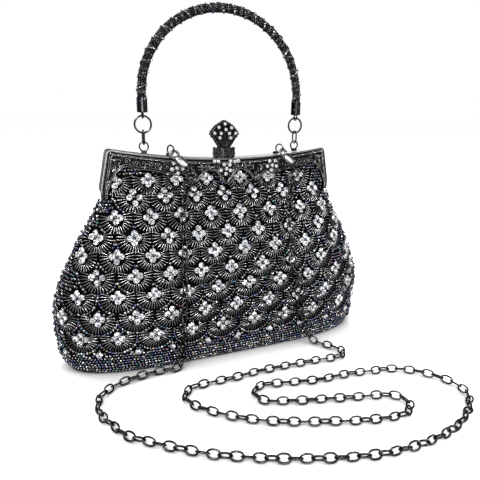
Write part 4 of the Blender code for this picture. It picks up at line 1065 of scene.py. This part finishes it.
def motif_hearts(radius=0.0009, raised=0.0006):
    keep = on_the_bag(*MOTIFS.T)
    s, z = MOTIFS[keep].T
    sizes = np.tile([radius * 1.6, radius, radius], (len(s), 1))
    return laid(SEED_BEAD, s, z, 0 * s, sizes, np.full(len(s), radius + raised), glasses(len(s), 0 * s))


bugles, sewn = fans()
arc = arcs(sewn)
filling, foot, rim = fillers(sewn, np.stack(arc[:2], axis=-1)), foot_rows(), rim_rows()
seeds = joined([seed_field(*arc, gain=1.15), seed_field(*rim, loose=0.3), seed_field(*filling),
                seed_field(*foot, lively=np.ones(len(foot[0]))), motif_hearts()])
stones = crystals()
for label, (verts, faces, tint), bead in (("bugles", bugles, BUGLE_BEAD), ("seeds", seeds, SEED_BEAD),
                                          ("crystals", stones, STONE)):
    print(f"{len(verts) // len(bead[0])} {label} a side")

# %% [markdown]
# The beads of one side are cut into a lower piece that rides on the bag and an upper piece above the
# hinges.


# %% Bead pieces
def split_at(bead_set, z, template):
    """Two sets, below and above a height; whole beads stay together."""
    (verts, faces, tint), each = bead_set, len(template[0])
    beads, tints = verts.reshape(-1, each, 3), tint.reshape(-1, each, 3)
    high = beads[..., 2].mean(axis=1) > z
    for pick in (~high, high):
        start = np.arange(pick.sum()) * each
        own = (faces[:len(template[1])] + start[:, None, None]).reshape(-1, 4)
        yield beads[pick].reshape(-1, 3), own, tints[pick].reshape(-1, 3)


for label, bead_set, template, glass in (
    ("seed_beads", seeds, SEED_BEAD, SEED), ("bugle_beads", bugles, BUGLE_BEAD, BUGLE),
    ("crystals", stones, STONE, CRYSTAL),
):
    low, high = split_at(bead_set, BEND["start"][2], template)
    for half, back in HALVES:
        name, smooth = f"{label}_{half}", glass is not CRYSTAL
        make_piece(name + "_low", low, glass, "bag", back, smooth)
        make_piece(name + "_high", high, glass, ("bag", half + "_frame"), back, smooth)

# %% [markdown]
# ## Frame and plates
# The frame is polished angle section. On its face run a thin raised line and a twisted silver one, and
# under them lies the stamped plate: scrolls and leaves raised from dark ground, closed below by a double
# raised border that follows the scallops. Real plates are pressed from thin brass, blackened, then rubbed
# bright on the high places.

# %% Lines on the frame
PLATE_FACE = 0.0085
LINE_FACE = PLATE_FACE + 0.0001


def frame_line(inset, low=0.1175, samples=70):
    """Line along the frame's outer edge, set inwards, from one arm round the top to the other, in XZ."""
    x = (FRAME_TOP_HALF - inset) * np.cos(np.linspace(0, math.pi, samples))
    top = stacked(x, top_height(x * (1 + inset / FRAME_TOP_HALF)) - inset)
    knee = np.array([FRAME_HALF - inset, ARM_JOIN])
    arm = np.r_[[[FRAME_HALF - inset, low]], knee + (top[0] - knee) * np.linspace(0, 0.96, 12)[:, None]]
    return np.r_[arm, top[1:-1], arm[::-1] * (-1, 1)]


def on_face(xz, y):
    """XZ points put on a plane that faces the front."""
    return stacked(xz[:, 0], -y, xz[:, 1])


def rope(line, radius, pitch, wire=0.55):
    """Two wires twisted round each other along a line; wire is their radius as a share of the rope's."""
    points, length = even_points(line, pitch / 8)
    side, lifted = sweep_frames(points)[1:]
    turn = (2 * math.pi / pitch * np.linspace(0, length, len(points)))[:, None]
    strands = (np.cos(turn + phase) * side + np.sin(turn + phase) * lifted for phase in (0, math.pi))
    return joined([tube(points + radius * 0.5 * strand, radius * wire, sides=5) for strand in strands])


def border_line(rise, samples=260):
    """The plate's scalloped edge, smoothed, a little above it."""
    x = np.linspace(-PANEL_HALF, PANEL_HALF, samples)
    z = np.convolve(np.pad(plate_edge(x), 2, mode="edge"), np.ones(5) / 5, mode="valid") + rise
    return on_face(stacked(x, z), LINE_FACE)


ridge = tube(on_face(frame_line(inset=0.0024), LINE_FACE), radius=0.00026)
twisted = rope(on_face(frame_line(inset=0.0033, low=0.1185), LINE_FACE), radius=0.00034, pitch=0.0019)
trim = joined([ridge, twisted])
border = joined([tube(border_line(rise), radius) for rise, radius in ((0.0005, 0.00032), (0.0019, 0.00026))])
print(f"{len(trim[1])} faces of moulding, {len(border[1])} of border")

# %% [markdown]
# A scroll is a spiral that thins as it winds in and ends in a boss. Scrolls of four sizes are set in
# mirrored pairs wherever they fit, with leaves in threes and small dots between them.


# %% Filigree
SCROLLS = ((0.0031, 500), (0.0025, 900), (0.0020, 1500), (0.0015, 2500))
DOT_TRIES, PLATE_HALF, PLATE_LOW, PLATE_HIGH = 6000, 0.082, 0.116, 0.148
BORDER_WIDE, MOULDING_WIDE, DOT, LEAF = 0.0016, 0.0034, 0.00050, 0.0019


def dome(x, z, radius, rings=4, sides=8, high=0.7):
    """Low round boss on the plate; high is its height as a share of its radius."""
    right, up = circle(sides)
    rise = np.linspace(0, math.pi / 2 * 0.96, rings)[:, None]
    wide, proud = radius * np.cos(rise), radius * high * np.sin(rise)
    return skin(stacked(x + wide * right, -PLATE_FACE - proud, z + wide * up))


def scroll(x, z, size, turns, start, sense, thick=0.00034, thin=0.45):
    """Spiral wire with a boss in its eye; size is its outer radius, and it thins as it winds in."""
    t = np.linspace(0, 1, 26)
    radius = size * (1 - 0.80 * t)
    angle = start + sense * 2 * math.pi * turns * t
    line = stacked(x + radius * np.cos(angle), z + radius * np.sin(angle))
    wire = tube(on_face(line, PLATE_FACE), thick * (1 - thin * t) + 0.00006, flat=1.5)
    return [wire, dome(x, z, size * 0.22)]


def leaf(x, z, size, angle, wide=0.34, high=0.00055):
    """Pointed leaf with a raised midrib, from its stalk along angle."""
    t = np.linspace(0, 1, 7)[:, None]
    across = np.linspace(-1, 1, 5)
    full = np.sin(math.pi * t ** 0.8)
    along, side = size * t + 0 * across, size * wide * full ** 0.8 * across
    height = high * full * (1 - 0.75 * np.abs(across) ** 0.7)
    right, up = math.cos(angle), math.sin(angle)
    across, ahead = along * right - side * up, along * up + side * right
    return skin(stacked(x + across, -PLATE_FACE - height, z + ahead), closed=False)


def inside_plate(x, z, margin):
    """True where a disc of that margin lies on the plate between border and moulding."""
    low = max(plate_edge(np.array([x - margin, x, x + margin]))) + BORDER_WIDE
    high, arm = top_height(x) - MOULDING_WIDE, FRAME_HALF * narrowing(z) - MOULDING_WIDE
    return z - margin > low and z + margin < high and abs(x) + margin < arm


def filigree():
    """Scrolls of four sizes thrown onto the plate where they fit, then leaves and dots in the gaps."""
    pieces, taken, gaps = [], [], []
    for size, tries in SCROLLS:
        for x, z in zip(rng.uniform(size, PLATE_HALF, tries), rng.uniform(PLATE_LOW, PLATE_HIGH, tries)):
            clear = all((x - a) ** 2 + (z - b) ** 2 > (size + c) ** 2 * 0.84 for a, b, c in taken)
            if clear and inside_plate(x, z, size * 0.9):
                taken.append((x, z, size))
    for x, z, size in taken:
        sense, start, turns = rng.choice((-1, 1)), rng.uniform(0, 2 * math.pi), rng.uniform(0.9, 1.5)
        pieces += scroll(x, z, size * 0.98, turns, start, sense)
        pieces += scroll(-x, z, size * 0.98, turns, math.pi - start, -sense)
    across = rng.uniform(0.0012, PLATE_HALF + 0.001, DOT_TRIES)
    for x, z in zip(across, rng.uniform(PLATE_LOW, PLATE_HIGH, DOT_TRIES)):
        far = min(math.hypot(x - a, z - b) - c * 0.9 for a, b, c in taken)
        apart = all(math.hypot(x - a, z - b) > 0.0017 for a, b in gaps)
        if far > 0.0002 and apart and inside_plate(x, z, 0.0004):
            gaps.append((x, z))
    for index, (x, z) in enumerate(gaps):
        for side in (1, -1):
            if index % 3 == 0:
                pieces.append(dome(side * x, z, DOT))
            elif index % 3 == 1:
                turns = (math.pi / 2 + side * (index * 1.3 + spread) for spread in (-0.9, 0, 0.9))
                pieces += [leaf(side * x, z - 0.0006, LEAF, turn) for turn in turns]
    print(f"{2 * len(taken)} scrolls with {2 * len(gaps)} gaps between them")
    return joined(pieces)


relief = filigree()

# %% [markdown]
# Round stones in ring settings sit on the plates in clusters: one under the clasp and one to either side
# of it.

# %% Set stones
SIDE_CLUSTER = [
    (.0333, .1400), (.0378, .1400), (.0317, .1362), (.0356, .1368), (.0390, .1361), (.0350, .1333),
]
PLATE_STONES = [
    (-.0019, .13826), (.0023, .13794), (.0000, .1353), (-.0042, .13423), (.0030, .13401), (-.0006, .13182),
    (-.0090, .1406), (-.0062, .1405), (.0030, .1406), (.0062, .1402), (.0088, .1407),
    *SIDE_CLUSTER, *((-x, z) for x, z in SIDE_CLUSTER),
]


def set_stones(places, y, radius=0.00125, ring=1.12, wire=0.24):
    """Cut stones facing the front, each set in a ring; ring and wire are shares of the stone's radius."""
    count = len(places)
    axes = np.tile(np.diag((1.0, -1.0, 1.0)), (count, 1, 1))
    tone = np.tile([0.92, 0.93, 0.96], (count, 1))
    # painted glints: each facet of each set stone is painted a little lighter or darker
    painted_facet_glints = rng.uniform(0.45, 1.0, (count, FACETS))
    gems = stones_at(on_face(np.array(places), y), axes, np.full((count, 3), radius), tone, painted_facet_glints)
    right, up = circle(14)
    line = stacked(ring * radius * right, 0.0, ring * radius * up)
    return gems, joined([tube(line + (x, -y, z), radius * wire, sides=5, closed=True) for x, z in places])


plate_gems, plate_rings = set_stones(PLATE_STONES, PLATE_FACE + 0.0006)
for half, back in HALVES:
    body = half + "_frame"
    make_piece(half + "_moulding", trim, MOULDING, body, back)
    make_piece(half + "_border", border, BORDER, body, back)
    make_piece(half + "_filigree", relief, RELIEF, body, back)
    make_piece(half + "_plate_stones", plate_gems, CRYSTAL, body, back, smooth=False)
    make_piece(half + "_plate_settings", plate_rings, RELIEF, body, back)

# %% [markdown]
# ## Clasp
# The lever ends in a fan like a shell, with ribs that spread from its neck, a raised rim and ten set
# stones. Its collar is knurled like a thimble and has a wavy bright crown.

# %% Clasp dressing
RIM_WIRE, RIB_THIN, RIB_SWELL, LOBE_PITCH = 0.00036, 0.00026, 0.00030, 0.0019
RIB_ANGLES = (-38, -19, 0, 19, 38)
CLASP_Y, KNOB_THICK = 0.0035, 0.0016
COLLAR_LOW, COLLAR_HIGH, COLLAR_HALF_X, COLLAR_HALF_Y = 0.1426, 0.1492, 0.0077, 0.0046
KNOB_FOOT, KNOB_TALL, KNOB_HALF = 0.1492, 0.0186, 0.0105
FAN = [(.380, .02), (.557, .151), (.810, .376), (1.0, .548), (.648, .785), (.343, .892), (0, 1.0)]
KNOB_STONES = [
    (-.0047, .16324), (-.0002, .16560), (.0046, .16300), (.0005, .16180), (-.0078, .15935), (-.0030, .15922),
    (.0030, .15922), (.0078, .15935), (-.0040, .15622), (.0040, .15610),
]
STUD = turned([(-0.0005, 0.00066), (0.0, 0.00062), (0.00022, 0.00036), (0.00034, 0.00004)], 4)
LOBE = turned([(-1.0, 0.1), (-0.75, 0.66), (-0.3, 0.95), (0.3, 0.95), (0.75, 0.66), (1.0, 0.1)], 8)


def hoop(out, z, radius, count=72):
    """Wire round the collar, out from its surface."""
    right, ahead = circle(count)
    x, y = (COLLAR_HALF_X + out) * right, (COLLAR_HALF_Y + out) * ahead - CLASP_Y
    return tube(stacked(x, y, z), radius, up=(0, 0, 1), closed=True)


def collar_knurl(count=40, rows=4):
    """Rows of little pyramids round the collar, staggered, between two plain hoops."""
    pieces = []
    for row, z in enumerate(np.linspace(COLLAR_LOW + 0.0013, COLLAR_HIGH - 0.0018, rows)):
        right, ahead = circle(count, (row % 2) * math.pi / count)
        swell = 0.0003 * math.sin(math.pi * (row + 0.5) / rows)
        x, y = (COLLAR_HALF_X + swell) * right, (COLLAR_HALF_Y + swell) * ahead
        out = unit(stacked(x / COLLAR_HALF_X**2, y / COLLAR_HALF_Y**2, 0.0))
        place = stacked(x, y - CLASP_Y, z)
        side = stacked(-out[:, 1], out[:, 0], 0.0)
        axes = stacked(out, side, np.tile([0.0, 0, 1.0], (count, 1)))
        pieces.append(scatter(STUD, place, axes, white(x), white(x)))
    pieces += [hoop(-0.0001, z, RIM_WIRE) for z in (COLLAR_LOW + 0.0005, COLLAR_HIGH - 0.0009)]
    return joined(pieces)


def collar_crown(count=160, waves=16, wire=0.00042):
    """Wavy bright wire along the collar's upper edge."""
    turn = 2 * math.pi * np.arange(count) / count
    return hoop(0.0001, COLLAR_HIGH - 0.0001 + wire * np.cos(turn * waves), wire, count)


def fan_outline(scale, samples=12):
    """The fan's outline in XZ, from the neck round the top and back."""
    right = np.array(FAN) * (KNOB_HALF, KNOB_TALL)
    half = np.r_[right, right[-2::-1] * (-1, 1)]
    middle = np.array([0, KNOB_TALL * 0.55])
    sides = [np.linspace(a, b, samples, endpoint=False) for a, b in zip(half, half[1:])]
    return middle + (np.concatenate([*sides, half[-1:]]) - middle) * scale + (0, KNOB_FOOT)


def knob_relief():
    """Rim along the outline and five ribs from the neck on both faces, and lobes along the edge."""
    pieces = []
    t = np.linspace(0.12, 1, 14)
    for sign in (1, -1):
        y, up = CLASP_Y + sign * KNOB_THICK, (0, -sign, 0)
        pieces.append(tube(on_face(fan_outline(scale=0.95), y), RIM_WIRE, up=up))
        for angle in np.radians(RIB_ANGLES):
            along = KNOB_TALL * (0.94 - 0.28 * abs(math.sin(angle)) * 1.4) * t
            line = stacked(along * np.sin(angle), KNOB_FOOT + along * np.cos(angle))
            pieces.append(tube(on_face(line, y), RIB_THIN + RIB_SWELL * t, up=up, flat=0.9))
    edge = even_points(on_face(fan_outline(scale=0.985)[28:-28], CLASP_Y), LOBE_PITCH)[0]
    sizes = np.tile([0.00112, 0.0014, 0.00112], (len(edge), 1))
    pieces.append(scatter(LOBE, edge, np.tile(np.eye(3), (len(edge), 1, 1)), sizes, white(edge)))
    return joined(pieces)


knob_gems, knob_rings = set_stones(KNOB_STONES, CLASP_Y + KNOB_THICK + 0.0009, radius=0.00112)
make_piece("collar_knurl", collar_knurl(), GUNMETAL, "front_frame")
make_piece("collar_crown", collar_crown(), GUNMETAL, "front_frame")
make_piece("knob_relief", knob_relief(), GUNMETAL, "clasp_lever")
make_piece("knob_stones", knob_gems, CRYSTAL, "clasp_lever", smooth=False)
make_piece("knob_settings", knob_rings, GUNMETAL, "clasp_lever")

# %% [markdown]
# ## Clips
# A lobster clasp has a plump polished body below its hook. It follows the solid hook's own axes.

# %% Clips
CLIP_ACROSS, CLIP_FLAT, CLIP_DOWN = (unit(np.array(v)) for v in (
    (-0.6705, -0.4649, -0.5781), (0.2451, -0.8744, 0.4189), (0.7002, -0.1392, -0.7002)))
CLIP_SEATS = {"left": (-0.03889, -0.01247, 0.14693), "right": (0.04111, -0.01247, 0.14693)}
CLIP_TOP, CLIP_LONG, CLIP_WIDE, CLIP_THICK = 0.0030, 0.0092, 0.0031, 0.0018


def clip_body(seat, sides=20):
    """Plump bar: ovals along the clip, full in the middle and rounded in at both ends."""
    t = np.array([0, 0.015, 0.07, 0.16, 0.35, 0.6, 0.82, 0.92, 0.985, 1.0])[:, None]
    swell = np.array([0.05, 0.55, 0.82, 0.94, 1.0, 0.97, 0.86, 0.74, 0.50, 0.05])[:, None]
    right, up = (np.sign(c) * np.abs(c) ** 0.8 for c in circle(sides))
    wide, thick = CLIP_WIDE * swell * right, CLIP_THICK * swell ** 0.6 * up
    along = CLIP_TOP + CLIP_LONG * t + 0 * wide
    verts = np.array(seat) + (
        along[..., None] * CLIP_DOWN + wide[..., None] * CLIP_ACROSS + thick[..., None] * CLIP_FLAT)
    return skin(verts)


for side, seat in CLIP_SEATS.items():
    make_piece(side + "_clip_body", clip_body(seat), CLIP, side + "_hook")

# %% [markdown]
# ## Handle
# A cord core is wound tightly with strings of fine dark beads, and a string of larger bright ones climbs
# over them in long turns. The ends are glued into gloss black ferrules.

# %% Handle
HANDLE_HALF, HANDLE_RISE, HANDLE_LEG, HANDLE_Y, GRIP_LOW = 0.056, 0.0546, 0.0085, -0.0035, 0.17511
BURIED, CORE_RADIUS = 0.003, 0.0021


def handle_line():
    """Two straight legs and half an oval between them."""
    turn = np.linspace(0, math.pi, 240)
    arch = stacked(HANDLE_HALF * np.cos(turn), GRIP_LOW + HANDLE_LEG + HANDLE_RISE * np.sin(turn))
    leg = np.array([[HANDLE_HALF, GRIP_LOW]])
    return even_points(on_face(np.r_[leg, arch, leg * (-1, 1)], -HANDLE_Y), 0.0005)


def wound_beads(points, length, tones, radius, pitch, size, spacing, slack):
    """Beads strung along a helix round the handle; the string's direction is each bead's hole.

    The string is as long as a slanted line: the square root of (2 pi radius)^2 + pitch^2 for each turn.
    """
    wire = math.hypot(2 * math.pi * radius, pitch) * length / pitch
    count = int(wire / spacing)
    at = (np.arange(count) + 0.5) / count
    where = at * (len(points) - 1)
    i = np.minimum(where.astype(int), len(points) - 2)
    v = (where - i)[:, None]
    centre = points[i] * (1 - v) + points[i + 1] * v
    along, side, lifted = (d[i] for d in sweep_frames(points))
    turn = (2 * math.pi * at * length / pitch)[:, None]
    out = np.cos(turn) * side + np.sin(turn) * lifted
    string = unit((-np.sin(turn) * side + np.cos(turn) * lifted) * 2 * math.pi * radius + along * pitch)
    out = unit(out + string * rng.normal(0, 0.05, (count, 1)))
    axes = stacked(string, out, np.cross(string, out))
    wide = size / 2 * rng.uniform(0.9, 1.08, count)
    sizes = bead_sizes(spacing * rng.uniform(0.86, 0.98, count), wide)
    stand = radius + slack * np.abs(rng.normal(0, 1, (count, 1)))
    return scatter(STRUNG_BEAD, centre + out * stand, axes, sizes, tones(count, at))


def fine_tones(count, at):
    """Dark beads whose grey wanders slowly, with a paler string now and then."""
    band = 0.5 + 0.5 * np.sin(at * 260)
    return np.array([.075, .075, .08]) * (0.4 + 1.8 * band[:, None] ** 4) * rng.uniform(0.5, 1.7, (count, 1))


def bold_tones(count, at):
    """Calm glasses, and about one bead in five much brighter."""
    bright = (rng.random((count, 1)) < 0.22) * rng.uniform(0.2, 0.7, (count, 1))
    return glasses(count, np.full(count, 0.1)) + bright


line, length = handle_line()
ends = line[[0, -1]] - (0, 0, BURIED)
core = tube(np.r_[ends[:1], line[3:-3:6], ends[1:]], CORE_RADIUS, sides=12)
winding = wound_beads(line, length, fine_tones, radius=0.0024, pitch=0.00088, size=0.00090, spacing=0.00100,
                      slack=0.00016)
strand = wound_beads(line, length, bold_tones, radius=0.00285, pitch=0.0080, size=0.00135, spacing=0.00150,
                     slack=0.00006)
make_piece("handle_core", core, CLOTH, "handle", stands_for="handle_grip")
make_piece("handle_winding", winding, SEED, "handle")
make_piece("handle_strand", strand, SEED, "handle")
print(f"handle is {length * 1000:.0f} mm from ferrule to ferrule")
